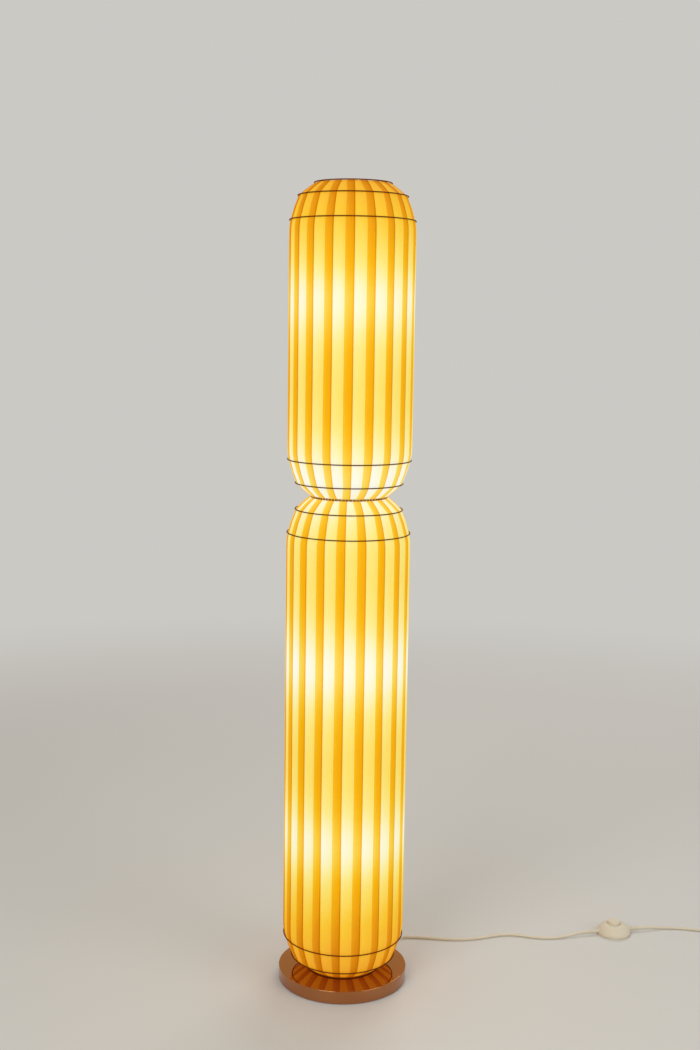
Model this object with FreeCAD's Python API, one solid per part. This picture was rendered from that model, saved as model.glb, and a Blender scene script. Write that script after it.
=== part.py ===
import FreeCAD, Part
import math
import os

# Pleated paper-cloth lantern floor lamp, in millimetres. The origin is on the floor under the pole,
# +Z is up, +X is to the right of someone who faces the lamp and +Y points away from them.

# Base
base_radius = 123.0
base_height = 25.5
cover_wall = 1.6
cover_edge_radius = 1.2
cover_lift = 1.0          # the cover's rim stays this far off the floor
felt_thickness = 2.0
felt_inset = 4.0
weight_clearance = 0.4
nut_recess_radius = 17.0
nut_recess_top = 15.0
nut_width = 17.0
nut_height = 4.0
washer_radius = 12.0
washer_thickness = 1.5
channel_width = 8.0
channel_top = 17.0

# Pole
pole_radius = 8.0
pole_wall = 1.5
stud_radius = 5.0
stud_flange_radius = 15.0
stud_flange_height = 6.0
stud_tail = 6.0           # thread that shows below the nut's washer
spigot_length = 20.0
spigot_clearance = 0.05
wire_bore_radius = 2.5
collar_radius = 11.0
collar_height = 4.0
lower_joint_height = 480.0
finial_radius = 9.0
finial_height = 5.5
finial_thread_radius = 3.0
finial_crown = 1.6        # metal above the end of its thread

# Wire frame of the two lanterns
full_hoop_radius = 114.0
mid_hoop_radius = 99.3
end_ring_radius = 70.0
hoop_wire = 2.2
foot_cap_height = 64.5    # end ring to full hoop, at the foot
cap_height = 66.3         # end ring to full hoop, at the other three ends
mid_hoop_rise = 23.0      # end ring to mid hoop
waist_height = 936.0      # centre of the lower lantern's top ring
lantern_top = 1502.7      # centre of the upper lantern's top ring
seat_gap = 0.3
spider_arms = 3
spider_hub_radius = 17.0

# Pleated cloth
pleat_count = 19
pleat_overlap = 0.43      # share of a pleat's pitch that is three layers thick
cloth_layer = 0.6
cloth_bulge = 2.2         # between the two full hoops of a lantern
bulge_reach = 30.0
cloth_seat_gap = 0.7      # cloth's edge above or below an end ring's wire
lower_pleat_turn = 2.3    # degrees
upper_pleat_turn = 6.8

# Lashing at the waist
thread_diameter = 0.8
thread_clearance = 0.15
stitches_between_arms = 23

# Light modules, placed by the underside of each plate
first_light_height = 292.0
second_light_height = 626.0
waist_light_rise = 30.0   # above the lower lantern's top ring
top_light_drop = 214.7    # below the upper lantern's top ring
plate_radius = 47.0
plate_thickness = 2.0
plate_lip = 4.0
lip_wall = 1.8
plate_hub_radius = 13.0
plate_hub_height = 12.0
board_radius = 40.0
board_bore_radius = 13.0
board_thickness = 1.6
chip_count = 12
chip_circle_radius = 30.0
chip_size = 3.0
chip_height = 0.8
diffuser_depth = 22.0
diffuser_wall = 1.8
diffuser_round = 8.0
diffuser_clearance = 0.2
diffuser_bore_gap = 0.5
set_screw_radius = 2.0
set_screw_length = 5.5
lead_diameter = 2.4
lead_rise = 6.0           # pole hole above the plate's hub
lead_radius = 21.0        # where the lead goes down through the plate
lead_hole_clearance = 0.6

# Mains cord
cord_diameter = 5.4
cord_gap = 0.1            # cord above the floor
wire_diameter = 3.0
gland_angle = 60.0
gland_height = 12.5
gland_length = 26.0
gland_radius = 4.6
gland_flange_radius = 5.5
gland_flange_length = 2.0
flange_clearance = 0.01

# Foot switch
switch_x = 566.5
switch_y = 209.5
switch_turn = 12.0
switch_radius = 34.5
switch_wall = 2.4
switch_floor = 2.5
switch_foot_radius = 32.8
switch_fit = 0.4          # between the cover and the rim that it seats on
dome_start = 7.5
dome_top = 21.5
dome_shoulder = 4.0       # the dome's curve ends this far out from the button
dome_shoulder_drop = 0.6
dome_bulge = 2.75         # of the curve beyond the straight line between its ends
button_radius = 13.0
button_top = 28.3
button_wall = 2.0
button_edge_radius = 1.8
button_travel = 3.0
button_clearance = 0.5
button_flange = 2.2
button_flange_height = 1.5
relief_height = 7.2
relief_inset = 6.0        # its flange's seat, inwards from the cover's side
relief_length = 22.0
relief_radius = 3.9
relief_flange_radius = 5.0
relief_flange_length = 1.5
relief_straight = 16.0    # level stretch of cord beside a relief or the gland
relief_tip_wall = 0.6
block_length = 24.0
block_width = 16.0
block_height = 8.5
block_corner = 1.5
terminal_radius = 1.6
terminal_height = 1.0
terminal_x = 9.1
terminal_y = 4.8
screw_circle_radius = 25.0
screw_count = 3
screw_depth = 5.0         # into the cover's boss
screw_radius = 1.5
screw_head_radius = 2.8
screw_head_height = 1.4
boss_radius = 3.2
spring_wire = 0.9
spring_radius = 4.0
spring_turns = 5
stem_radius = 2.5
stem_gap = 1.2            # stem above the contact block when the button is down

# Coil, tie and plug
coil_gap = 0.5            # between turns that lie side by side or on each other
coil_turns = 5.25
coil_climb_turns = 0.5
coil_samples = 400        # for its least gap
tie_thickness = 0.8
tie_width = 7.0
tie_clearance = 0.1
tie_angle = 300.0
plug_width = 35.0
plug_thickness = 13.7
plug_length = 30.0
plug_nose = 8.0
plug_edge_radius = 4.0
plug_tail_length = 24.0
plug_tail_wall = 1.6
pin_radius = 2.0
pin_length = 19.0
pin_spacing = 19.0

# Heights and radii that follow from the ones above
wire_radius = hoop_wire / 2
cord_radius = cord_diameter / 2
cord_height = cord_radius + cord_gap
pole_bore = pole_radius - pole_wall
spigot_radius = pole_bore - spigot_clearance
foot_ring_height = base_height + wire_radius
upper_ring_height = waist_height + hoop_wire + seat_gap
hub_bottom = waist_height - wire_radius
stud_top = base_height + hoop_wire + stud_flange_height
top_hub_bottom = lantern_top - wire_radius
light_heights = [first_light_height, second_light_height,
                 waist_height + waist_light_rise, lantern_top - top_light_drop]
switch_place = FreeCAD.Placement(FreeCAD.Vector(switch_x, switch_y, 0),
                                 FreeCAD.Rotation(FreeCAD.Vector(0, 0, 1), switch_turn))
relief_tip = switch_radius + relief_length
relief_seat = switch_radius - relief_inset
gland_seat = math.sqrt((base_radius - cover_wall) ** 2 - gland_flange_radius ** 2) - flange_clearance
coil_pitch = cord_diameter + coil_gap
coil_floor = cord_radius + tie_thickness + 2 * tie_clearance
coil_in_turns = coil_turns / 2
coil_outer_radius = 5.5 * cord_diameter + coil_pitch * coil_in_turns / 2


def polar(radius, degrees, z=0.0):
    angle = math.radians(degrees)
    return FreeCAD.Vector(radius * math.cos(angle), radius * math.sin(angle), z)


def disc(radius, bottom, top, x=0.0, y=0.0):
    return Part.makeCylinder(radius, top - bottom, FreeCAD.Vector(x, y, bottom))


def pipe(outer, inner, bottom, top):
    return disc(outer, bottom, top).cut(disc(inner, bottom, top))


def turned(points):
    """Solid of revolution about Z from a closed outline of (radius, height) points."""
    corners = [FreeCAD.Vector(r, 0, z) for r, z in points]
    face = Part.Face(Part.makePolygon(corners + corners[:1]))
    return face.revolve(FreeCAD.Vector(0, 0, 0), FreeCAD.Vector(0, 0, 1), 360)


def rod(start, end, radius):
    return Part.makeCylinder(radius, (end - start).Length, start, end - start)


def ring(radius, height, wire):
    return Part.makeTorus(radius, wire, FreeCAD.Vector(0, 0, height))


def turn_copies(shape, count):
    """Copies of a shape, evenly spaced about Z."""
    copies = []
    for index in range(count):
        copy = shape.copy()
        copy.rotate(FreeCAD.Vector(0, 0, 0), FreeCAD.Vector(0, 0, 1), 360.0 * index / count)
        copies.append(copy)
    return copies


def turned_by(shape, degrees):
    shape.rotate(FreeCAD.Vector(0, 0, 0), FreeCAD.Vector(0, 0, 1), degrees)
    return shape


def save(name, *solids):
    shape = solids[0] if len(solids) == 1 else Part.makeCompound(list(solids))
    shape.exportStep("parts/" + name + ".step")


def sweep(edges, radius):
    """Round tube along a wire whose edges join smoothly."""
    path = Part.Wire(edges)
    start = edges[0].valueAt(edges[0].FirstParameter)
    heading = edges[0].tangentAt(edges[0].FirstParameter)
    profile = Part.Wire(Part.makeCircle(radius, start, heading))
    return path.makePipeShell([profile], True, False)


def route_tube(name, points, diameter):
    """Tube along straight runs with a tangent arc at each inner point, as large as the runs allow."""
    runs = [(points[i + 1] - points[i]).Length for i in range(len(points) - 1)]
    edges = []
    radii = []
    position = points[0]
    for index in range(1, len(points) - 1):
        into = (points[index] - points[index - 1]).normalize()
        out = (points[index + 1] - points[index]).normalize()
        turn = into.getAngle(out)
        reach = 0.45 * min(runs[index - 1], runs[index])
        radius = reach / math.tan(turn / 2)
        start = points[index] - into * reach
        end = points[index] + out * reach
        inward = (out - into).normalize()
        middle = points[index] + inward * (radius / math.cos(turn / 2) - radius)
        edges.append(Part.LineSegment(position, start).toShape())
        edges.append(Part.Arc(start, middle, end).toShape())
        radii.append(radius)
        position = end
    edges.append(Part.LineSegment(position, points[-1]).toShape())
    tube = sweep(edges, diameter / 2)
    length = sum(edge.Length for edge in edges)
    section = math.pi * diameter ** 2 / 4
    print(name, "length %.0f, radii" % length, [round(r) for r in radii],
          "volume ratio %.4f" % (tube.Volume / (section * length)))
    return tube


# Base and pole

def base_cover():
    shell = disc(base_radius, cover_lift, base_height)
    rim = [edge for edge in shell.Edges if edge.BoundBox.ZMin > base_height - 0.01]
    shell = shell.makeFillet(cover_edge_radius, rim)
    inside = disc(base_radius - cover_wall, 0, base_height - cover_wall)
    shell = shell.cut(inside).cut(disc(stud_radius + spigot_clearance, 0, base_height))
    return shell.cut(gland_bore())


def gland_bore():
    inner = polar(base_radius - 2 * gland_flange_length, gland_angle, gland_height)
    outer = polar(base_radius + gland_flange_length, gland_angle, gland_height)
    return rod(inner, outer, gland_radius + spigot_clearance)


def base_weight():
    radius = base_radius - cover_wall - weight_clearance
    weight = disc(radius, felt_thickness, base_height - cover_wall)
    channel = Part.makeBox(base_radius, channel_width, channel_top - felt_thickness,
                           FreeCAD.Vector(0, -channel_width / 2, felt_thickness))
    pocket_start = radius - gland_flange_length - weight_clearance
    pocket_width = 2 * (gland_flange_radius + weight_clearance)
    pocket = Part.makeBox(base_radius - pocket_start, pocket_width,
                          gland_height + pocket_width / 2 - felt_thickness,
                          FreeCAD.Vector(pocket_start, -pocket_width / 2, felt_thickness))
    for hollow in (channel, pocket):
        weight = weight.cut(turned_by(hollow, gland_angle))
    weight = weight.cut(disc(nut_recess_radius, felt_thickness, nut_recess_top))
    return weight.cut(disc(stud_radius + spigot_clearance, 0, base_height))


def hexagon(width, bottom, top):
    corner = width / math.sqrt(3)
    corners = [polar(corner, 60.0 * index, bottom) for index in range(7)]
    return Part.Face(Part.makePolygon(corners)).extrude(FreeCAD.Vector(0, 0, top - bottom))


def base_nut():
    top = nut_recess_top - washer_thickness
    return hexagon(nut_width, top - nut_height, top).cut(disc(stud_radius, 0, top))


def pole_stud():
    flange_bottom = base_height + hoop_wire
    stud = disc(stud_radius, nut_recess_top - stud_tail, flange_bottom)
    stud = stud.fuse(disc(stud_flange_radius, flange_bottom, stud_top))
    stud = stud.fuse(disc(spigot_radius, stud_top, stud_top + spigot_length))
    return stud.cut(disc(wire_bore_radius, 0, stud_top + spigot_length)).removeSplitter()


def pole_coupler(collar_bottom, collar_top, upper_seat):
    """Collar between two tubes, with a spigot into each of them."""
    coupler = disc(spigot_radius, collar_bottom - spigot_length, upper_seat + spigot_length)
    coupler = coupler.fuse(disc(collar_radius, collar_bottom, collar_top))
    bore = disc(wire_bore_radius, collar_bottom - spigot_length, upper_seat + spigot_length)
    return coupler.cut(bore).removeSplitter()


def pole_top_plug():
    plug = disc(spigot_radius, top_hub_bottom - collar_height - spigot_length, top_hub_bottom)
    plug = plug.fuse(disc(collar_radius, top_hub_bottom - collar_height, top_hub_bottom))
    thread_top = top_hub_bottom + hoop_wire + finial_height - finial_crown
    return plug.fuse(disc(finial_thread_radius, top_hub_bottom, thread_top)).removeSplitter()


def finial_nut():
    bottom = top_hub_bottom + hoop_wire
    top = bottom + finial_height
    nut = disc(finial_radius, bottom, top)
    rim = [edge for edge in nut.Edges if edge.BoundBox.ZMin > top - 0.01]
    nut = nut.makeFillet(finial_height / 3, rim)
    return nut.cut(disc(finial_thread_radius, bottom, top - finial_crown))


def pole_tube(bottom, top):
    tube = pipe(pole_radius, pole_bore, bottom, top)
    for height in light_heights:
        hole_height = height + plate_thickness + plate_hub_height + lead_rise
        if bottom < hole_height < top:
            hole_radius = lead_diameter / 2 + lead_hole_clearance
            tube = tube.cut(Part.makeCylinder(hole_radius, 2 * pole_radius,
                                              FreeCAD.Vector(0, 0, hole_height), FreeCAD.Vector(0, 1, 0)))
    return tube


# Wire frame and cloth

def spider(height, bore_radius):
    """End ring, three arms and a hub with a hole, welded into one piece."""
    arm = rod(FreeCAD.Vector(spider_hub_radius - wire_radius, 0, height),
              FreeCAD.Vector(end_ring_radius, 0, height), wire_radius)
    hub = pipe(spider_hub_radius, bore_radius, height - wire_radius, height + wire_radius)
    frame = hub.fuse(turn_copies(arm, spider_arms) + [ring(end_ring_radius, height, wire_radius)])
    return turned_by(frame.removeSplitter(), 90.0)


def lantern_outline(bottom, top, bottom_cap, bottom_gap, top_gap):
    """Outer cloth radius at each height, just inside the hoops and between the end rings."""
    inset = wire_radius + seat_gap
    held = full_hoop_radius - inset
    return [(bottom + bottom_gap, end_ring_radius),
            (bottom + mid_hoop_rise, mid_hoop_radius - inset),
            (bottom + bottom_cap, held),
            (bottom + bottom_cap + bulge_reach, held + cloth_bulge),
            (top - cap_height - bulge_reach, held + cloth_bulge),
            (top - cap_height, held),
            (top - mid_hoop_rise, mid_hoop_radius - inset),
            (top - top_gap, end_ring_radius)]


def pleat_turns(turn):
    """For each pleat, the angles where its flats start, bend, ramp up and end at the fold."""
    pitch = 360.0 / pleat_count
    for index in range(pleat_count):
        start = turn + index * pitch
        fold = start + pitch
        ramp = fold - pitch * pleat_overlap
        yield start, (start + ramp) / 2, ramp, fold


def pleat_wire(radius, height, turn):
    """Section of the knife pleats: two low flats, a ramp up to the fold's edge and a step down."""
    low = radius - 2 * cloth_layer
    corners = []
    for start, bend, ramp, fold in pleat_turns(turn):
        corners += [polar(low, angle, height) for angle in (start, bend, ramp)]
        corners.append(polar(radius, fold, height))
    return Part.makePolygon(corners + corners[:1])


def lining_wire(radius, height, turn):
    """Inner side of the cloth, with a flat behind each flat and ramp."""
    inner = radius - 3 * cloth_layer
    corners = [polar(inner, angle, height)
               for start, bend, ramp, fold in pleat_turns(turn) for angle in (start, bend, ramp)]
    return Part.makePolygon(corners + corners[:1])


def pleated_shade(outline, turn):
    outer = Part.makeLoft([pleat_wire(radius, z, turn) for z, radius in outline], True, True)
    inner = Part.makeLoft([lining_wire(radius, z, turn) for z, radius in outline], True, True)
    return outer.cut(inner)


def waist_stitch():
    """One closed loop of thread round both rings at the waist."""
    reach = wire_radius + thread_clearance + thread_diameter / 2
    inner = end_ring_radius - reach
    outer = end_ring_radius + reach
    top = upper_ring_height
    bottom = waist_height
    edges = [
        Part.LineSegment(FreeCAD.Vector(inner, 0, bottom), FreeCAD.Vector(inner, 0, top)).toShape(),
        Part.Arc(FreeCAD.Vector(inner, 0, top), FreeCAD.Vector(end_ring_radius, 0, top + reach),
                 FreeCAD.Vector(outer, 0, top)).toShape(),
        Part.LineSegment(FreeCAD.Vector(outer, 0, top), FreeCAD.Vector(outer, 0, bottom)).toShape(),
        Part.Arc(FreeCAD.Vector(outer, 0, bottom), FreeCAD.Vector(end_ring_radius, 0, bottom - reach),
                 FreeCAD.Vector(inner, 0, bottom)).toShape()]
    return sweep(edges, thread_diameter / 2)


# Light modules

def light_plate(height):
    top = height + plate_thickness
    plate = disc(plate_radius, height, top)
    plate = plate.fuse(pipe(plate_radius, plate_radius - lip_wall, height - plate_lip, height))
    plate = plate.fuse(disc(plate_hub_radius, top, top + plate_hub_height))
    plate = plate.cut(disc(pole_radius + spigot_clearance, height - plate_lip, top + plate_hub_height))
    plate = plate.cut(disc(lead_diameter / 2 + lead_hole_clearance, height - plate_lip, top, 0, lead_radius))
    screw_hole = Part.makeCylinder(set_screw_radius + spigot_clearance, plate_hub_radius,
                                   FreeCAD.Vector(0, 0, top + plate_hub_height / 2),
                                   FreeCAD.Vector(0, -1, 0))
    return plate.cut(screw_hole).removeSplitter()


def set_screw(height):
    level = height + plate_thickness + plate_hub_height / 2
    return Part.makeCylinder(set_screw_radius, set_screw_length, FreeCAD.Vector(0, -pole_radius, level),
                             FreeCAD.Vector(0, -1, 0))


def led_board(height):
    bottom = height - board_thickness
    board = pipe(board_radius, board_bore_radius, bottom, height)
    chip = Part.makeBox(chip_size, chip_size, chip_height,
                        FreeCAD.Vector(chip_circle_radius - chip_size / 2, -chip_size / 2,
                                       bottom - chip_height))
    return board.fuse(turn_copies(chip, chip_count))


def diffuser(height):
    radius = plate_radius - lip_wall - diffuser_clearance
    bottom = height - diffuser_depth
    bowl = disc(radius, bottom, height)
    bowl = bowl.makeFillet(diffuser_round, [e for e in bowl.Edges if e.BoundBox.ZMax < bottom + 0.01])
    inside = disc(radius - diffuser_wall, bottom + diffuser_wall, height)
    lower = [e for e in inside.Edges if e.BoundBox.ZMax < bottom + diffuser_wall + 0.01]
    inside = inside.makeFillet(diffuser_round - diffuser_wall, lower)
    return bowl.cut(inside).cut(disc(pole_radius + diffuser_bore_gap, bottom, height))


def module_lead(index, height):
    level = height + plate_thickness + plate_hub_height + lead_rise
    start = wire_diameter / 2 + cord_gap
    points = [FreeCAD.Vector(0, start, level), FreeCAD.Vector(0, lead_radius, level),
              FreeCAD.Vector(0, lead_radius, height)]
    return route_tube("module_lead_%d" % index, points, lead_diameter)


# Cord, gland and wire inside the lamp

def cord_gland():
    start = polar(gland_seat - gland_flange_length, gland_angle, gland_height)
    wall = polar(gland_seat, gland_angle, gland_height)
    mouth = polar(base_radius + gland_flange_length, gland_angle, gland_height)
    tip_radius = cord_radius + relief_tip_wall
    heading = mouth - wall
    flange = rod(start, wall, gland_flange_radius)
    body = rod(wall, mouth, gland_radius)
    tail = Part.makeCone(gland_radius, tip_radius, gland_length - gland_flange_length, mouth, heading)
    return flange.fuse([body, tail]).removeSplitter()


def inner_wire():
    """Pair of wires from the gland, under the nut and up the pole to the last module."""
    start = gland_seat - gland_flange_length
    turn_down = nut_recess_radius + wire_diameter * 2
    low = felt_thickness + wire_diameter
    last = light_heights[-1] + plate_thickness + plate_hub_height + lead_rise + lead_diameter
    points = [polar(start, gland_angle, gland_height),
              polar(turn_down, gland_angle, gland_height),
              polar(nut_recess_radius - wire_diameter, gland_angle, low),
              FreeCAD.Vector(0, 0, low),
              FreeCAD.Vector(0, 0, last)]
    return route_tube("inner_wire", points, wire_diameter)


def lamp_cord_points():
    """Route of the cord from the gland to the foot switch, as it lies on the floor."""
    tip = base_radius + gland_length
    z = cord_height
    switch_end = switch_place.multVec(FreeCAD.Vector(-relief_tip, 0, relief_height))
    before_end = switch_place.multVec(FreeCAD.Vector(-relief_tip - relief_straight, 0, relief_height))
    return [polar(tip, gland_angle, gland_height),
            polar(tip + relief_straight, gland_angle, gland_height),
            FreeCAD.Vector(94, 155.5, 9.6),
            FreeCAD.Vector(110, 164, 6.0),
            FreeCAD.Vector(129, 168.5, 3.6),
            FreeCAD.Vector(152, 168.0, z),
            FreeCAD.Vector(182, 165.5, z),
            FreeCAD.Vector(215, 160.5, z),
            FreeCAD.Vector(248, 160.5, z),
            FreeCAD.Vector(281, 168.5, z),
            FreeCAD.Vector(313, 181.5, z),
            FreeCAD.Vector(342, 188.5, z + 1.0),
            FreeCAD.Vector(369, 184.5, z + 0.6),
            FreeCAD.Vector(397, 176.0, z),
            FreeCAD.Vector(425, 173.0, z),
            FreeCAD.Vector(452, 177.5, z + 0.5),
            FreeCAD.Vector(475, 187.0, z + 2.6),
            before_end,
            switch_end]


def plug_cord_points():
    """Route of the cord from the foot switch to the start of the coil."""
    z = cord_height
    start = switch_place.multVec(FreeCAD.Vector(relief_tip, 0, relief_height))
    after_start = switch_place.multVec(FreeCAD.Vector(relief_tip + relief_straight, 0, relief_height))
    return [start,
            after_start,
            FreeCAD.Vector(660, 230.0, z + 1.6),
            FreeCAD.Vector(685, 232.6, z),
            FreeCAD.Vector(711, 231.0, z),
            FreeCAD.Vector(736, 226.0, z + 0.2),
            FreeCAD.Vector(762, 219.5, z + 0.6),
            FreeCAD.Vector(786, 216.0, coil_floor),
            FreeCAD.Vector(806, 216.0, coil_floor)]


def coil_centre():
    return plug_cord_points()[-1] - FreeCAD.Vector(0, coil_outer_radius, coil_floor)


def smooth(share):
    share = min(1.0, max(0.0, share))
    return share * share * (3 - 2 * share)


def coil_point(turns):
    """Centre of the cord after a number of turns: in on the floor, up a layer, and out again."""
    radius = coil_outer_radius - coil_pitch * (coil_in_turns - abs(turns - coil_in_turns))
    climb = smooth((turns - coil_in_turns) / coil_climb_turns + 0.5)
    return coil_centre() + polar(radius, 90.0 - 360.0 * turns, coil_floor + coil_pitch * climb)


def coil_heading(turns):
    """Direction of the cord at a number of turns; level and square to the radius at both ends."""
    if turns in (0.0, coil_turns):
        return polar(1, -360.0 * turns)
    step = 0.001
    return (coil_point(turns + step) - coil_point(turns - step)).normalize()


def biarc(start, start_heading, end, end_heading):
    """Two arcs that join two points smoothly and keep the heading at each."""
    span = end - start
    total = start_heading + end_heading
    spread = 2 * (1 - start_heading.dot(end_heading))
    product = span.dot(total)
    reach = (-product + math.sqrt(product ** 2 + spread * span.dot(span))) / spread
    first_corner = start + start_heading * reach
    second_corner = end - end_heading * reach
    joint = (first_corner + second_corner) * 0.5
    return [corner_arc(start, first_corner, joint), corner_arc(joint, second_corner, end)]


def corner_arc(start, corner, end):
    """Arc from start to end that is tangent to the lines to their common corner."""
    half = (start + end) * 0.5
    toward = corner - half
    half_chord = (end - start).Length / 2
    slant = math.hypot(half_chord, toward.Length)
    rise = half_chord * (slant - half_chord) / toward.Length
    return Part.Arc(start, half + toward.normalize() * rise, end).toShape()


def cord_coil():
    steps = int(coil_turns * 4)
    marks = [coil_turns * index / steps for index in range(steps + 1)]
    edges = []
    for first, second in zip(marks, marks[1:]):
        edges += biarc(coil_point(first), coil_heading(first), coil_point(second), coil_heading(second))
    tube = sweep(edges, cord_radius)
    length = sum(edge.Length for edge in edges)
    samples = [coil_point(coil_turns * i / coil_samples) for i in range(coil_samples + 1)]
    apart = int(coil_samples / coil_turns * 0.6)
    gap = min((first - second).Length
              for i, first in enumerate(samples) for second in samples[i + apart:])
    section = math.pi * cord_radius ** 2
    print("cord_coil length %.0f, least gap %.2f, volume ratio %.4f"
          % (length, gap - cord_diameter, tube.Volume / (section * length)))
    return tube


def tail_points():
    """From the top of the coil down to the floor and the plug's tail."""
    start = coil_point(coil_turns)
    plug_height = plug_thickness / 2
    plug_end = start + FreeCAD.Vector(3.0, -66.0, plug_height - start.z)
    return [start,
            FreeCAD.Vector(start.x, start.y - 14.0, start.z),
            FreeCAD.Vector(start.x + 0.8, start.y - 30.0, start.z - 1.6),
            FreeCAD.Vector(start.x + 2.2, start.y - 48.0, plug_height),
            plug_end]


def cord_tie():
    """Flat strap round the coil, snug on its turns."""
    inner_radius = coil_outer_radius - coil_pitch * coil_in_turns
    width = coil_outer_radius - inner_radius + cord_diameter + 2 * tie_clearance
    height = coil_pitch + cord_diameter + 2 * tie_clearance
    middle = (coil_outer_radius + inner_radius) / 2
    bottom = tie_thickness
    outer = Part.makeBox(width + 2 * tie_thickness, tie_width, height + 2 * tie_thickness,
                         FreeCAD.Vector(middle - width / 2 - tie_thickness, -tie_width / 2,
                                        bottom - tie_thickness))
    along = [edge for edge in outer.Edges if edge.BoundBox.YLength > tie_width - 0.01]
    outer = outer.makeFillet(cord_radius / 2 + tie_thickness, along)
    inner = Part.makeBox(width, tie_width, height,
                         FreeCAD.Vector(middle - width / 2, -tie_width / 2, bottom))
    along = [edge for edge in inner.Edges if edge.BoundBox.YLength > tie_width - 0.01]
    inner = inner.makeFillet(cord_radius / 2, along)
    strap = turned_by(outer.cut(inner), tie_angle)
    strap.translate(coil_centre())
    return strap


def plug_body():
    """Flat two-pin plug with a tapered tail, drawn along +Y and then laid at the cord's end."""
    height = plug_thickness / 2
    body = Part.makeBox(plug_width, plug_length, plug_thickness,
                        FreeCAD.Vector(-plug_width / 2, plug_nose, -height))
    nose_width = pin_spacing + 4 * pin_radius
    nose = Part.makeBox(nose_width, plug_nose, plug_thickness,
                        FreeCAD.Vector(-nose_width / 2, 0, -height))
    upright = [edge for edge in body.Edges if edge.BoundBox.ZLength > plug_thickness - 0.01]
    body = body.makeFillet(plug_edge_radius, upright).fuse(nose)
    tail_start = plug_nose + plug_length - plug_edge_radius
    tail = Part.makeCone(height - cord_gap, cord_radius + plug_tail_wall,
                         plug_tail_length + plug_edge_radius, FreeCAD.Vector(0, tail_start, 0),
                         FreeCAD.Vector(0, 1, 0))
    return laid_plug(body.fuse(tail).removeSplitter())


def plug_pin(side):
    x = side * pin_spacing / 2
    pin = Part.makeCylinder(pin_radius, pin_length, FreeCAD.Vector(x, 0, 0), FreeCAD.Vector(0, -1, 0))
    tip = [edge for edge in pin.Edges if edge.BoundBox.YMax < -pin_length + 0.01]
    return laid_plug(pin.makeFillet(pin_radius / 2, tip))


def laid_plug(shape):
    points = tail_points()
    heading = points[-1] - points[-2]
    turn = math.degrees(math.atan2(heading.x, -heading.y))
    tail_end = plug_nose + plug_length + plug_tail_length
    shape.translate(FreeCAD.Vector(0, -tail_end, 0))
    shape = turned_by(shape, turn)
    shape.translate(points[-1])
    return shape


# Foot switch, drawn about its own centre

def dome_outline(inset):
    """Outer or inset outline of the dome, from its rim up to the button's hole."""
    rim = FreeCAD.Vector(switch_radius - inset, 0, dome_start)
    shoulder = FreeCAD.Vector(button_radius + dome_shoulder, 0, dome_top - dome_shoulder_drop - inset)
    crown = FreeCAD.Vector(button_radius + button_clearance, 0, dome_top - inset)
    across = (shoulder - rim).normalize()
    middle = (rim + shoulder) * 0.5 + FreeCAD.Vector(across.z, 0, -across.x) * dome_bulge
    return rim, middle, shoulder, crown


def dome_solid(inset, bottom):
    rim, middle, shoulder, crown = dome_outline(inset)
    foot = FreeCAD.Vector(rim.x, 0, bottom)
    axis_low = FreeCAD.Vector(0, 0, bottom)
    axis_high = FreeCAD.Vector(0, 0, crown.z)
    edges = [Part.LineSegment(axis_low, foot).toShape(), Part.LineSegment(foot, rim).toShape(),
             Part.Arc(rim, middle, shoulder).toShape(), Part.LineSegment(shoulder, crown).toShape(),
             Part.LineSegment(crown, axis_high).toShape(), Part.LineSegment(axis_high, axis_low).toShape()]
    face = Part.Face(Part.Wire(edges))
    return face.revolve(FreeCAD.Vector(0, 0, 0), FreeCAD.Vector(0, 0, 1), 360)


def relief_bore(side, clearance):
    start = FreeCAD.Vector(side * (relief_seat - relief_flange_length - clearance), 0, relief_height)
    end = FreeCAD.Vector(side * (switch_radius + 1.0), 0, relief_height)
    return rod(start, end, relief_radius + clearance)


def switch_screw_place(shape):
    return turn_copies(turned_by(shape, 90.0), screw_count)


def switch_cover():
    shell = dome_solid(0, switch_floor).cut(dome_solid(switch_wall, switch_floor))
    boss = disc(boss_radius, switch_floor, dome_top, screw_circle_radius)
    boss = boss.common(dome_solid(switch_wall / 2, switch_floor))
    pilot = disc(screw_radius, switch_floor, switch_floor + screw_depth, screw_circle_radius)
    shell = shell.fuse(switch_screw_place(boss.cut(pilot)))
    shell = shell.cut(disc(button_radius + button_clearance, switch_floor, dome_top + 1))
    for side in (-1, 1):
        shell = shell.cut(relief_bore(side, spigot_clearance))
    return shell.removeSplitter()


def switch_base():
    rim_outer = switch_radius - switch_wall - switch_fit
    plate = disc(switch_foot_radius, 0, switch_floor)
    plate = plate.fuse(pipe(rim_outer, rim_outer - switch_wall / 2, switch_floor, dome_start))
    for side in (-1, 1):
        plate = plate.cut(relief_bore(side, relief_flange_radius - relief_radius + spigot_clearance))
    head = disc(screw_head_radius + spigot_clearance, 0, screw_head_height, screw_circle_radius)
    shank = disc(screw_radius + spigot_clearance, 0, switch_floor, screw_circle_radius)
    for hole in switch_screw_place(head.fuse(shank)):
        plate = plate.cut(hole)
    return plate


def switch_screw():
    head = disc(screw_head_radius, screw_clear_floor(), screw_head_height, screw_circle_radius)
    shank = disc(screw_radius - spigot_clearance, screw_head_height,
                 switch_floor + screw_depth - seat_gap, screw_circle_radius)
    return head.fuse(shank)


def screw_clear_floor():
    return screw_head_height / 4


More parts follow.
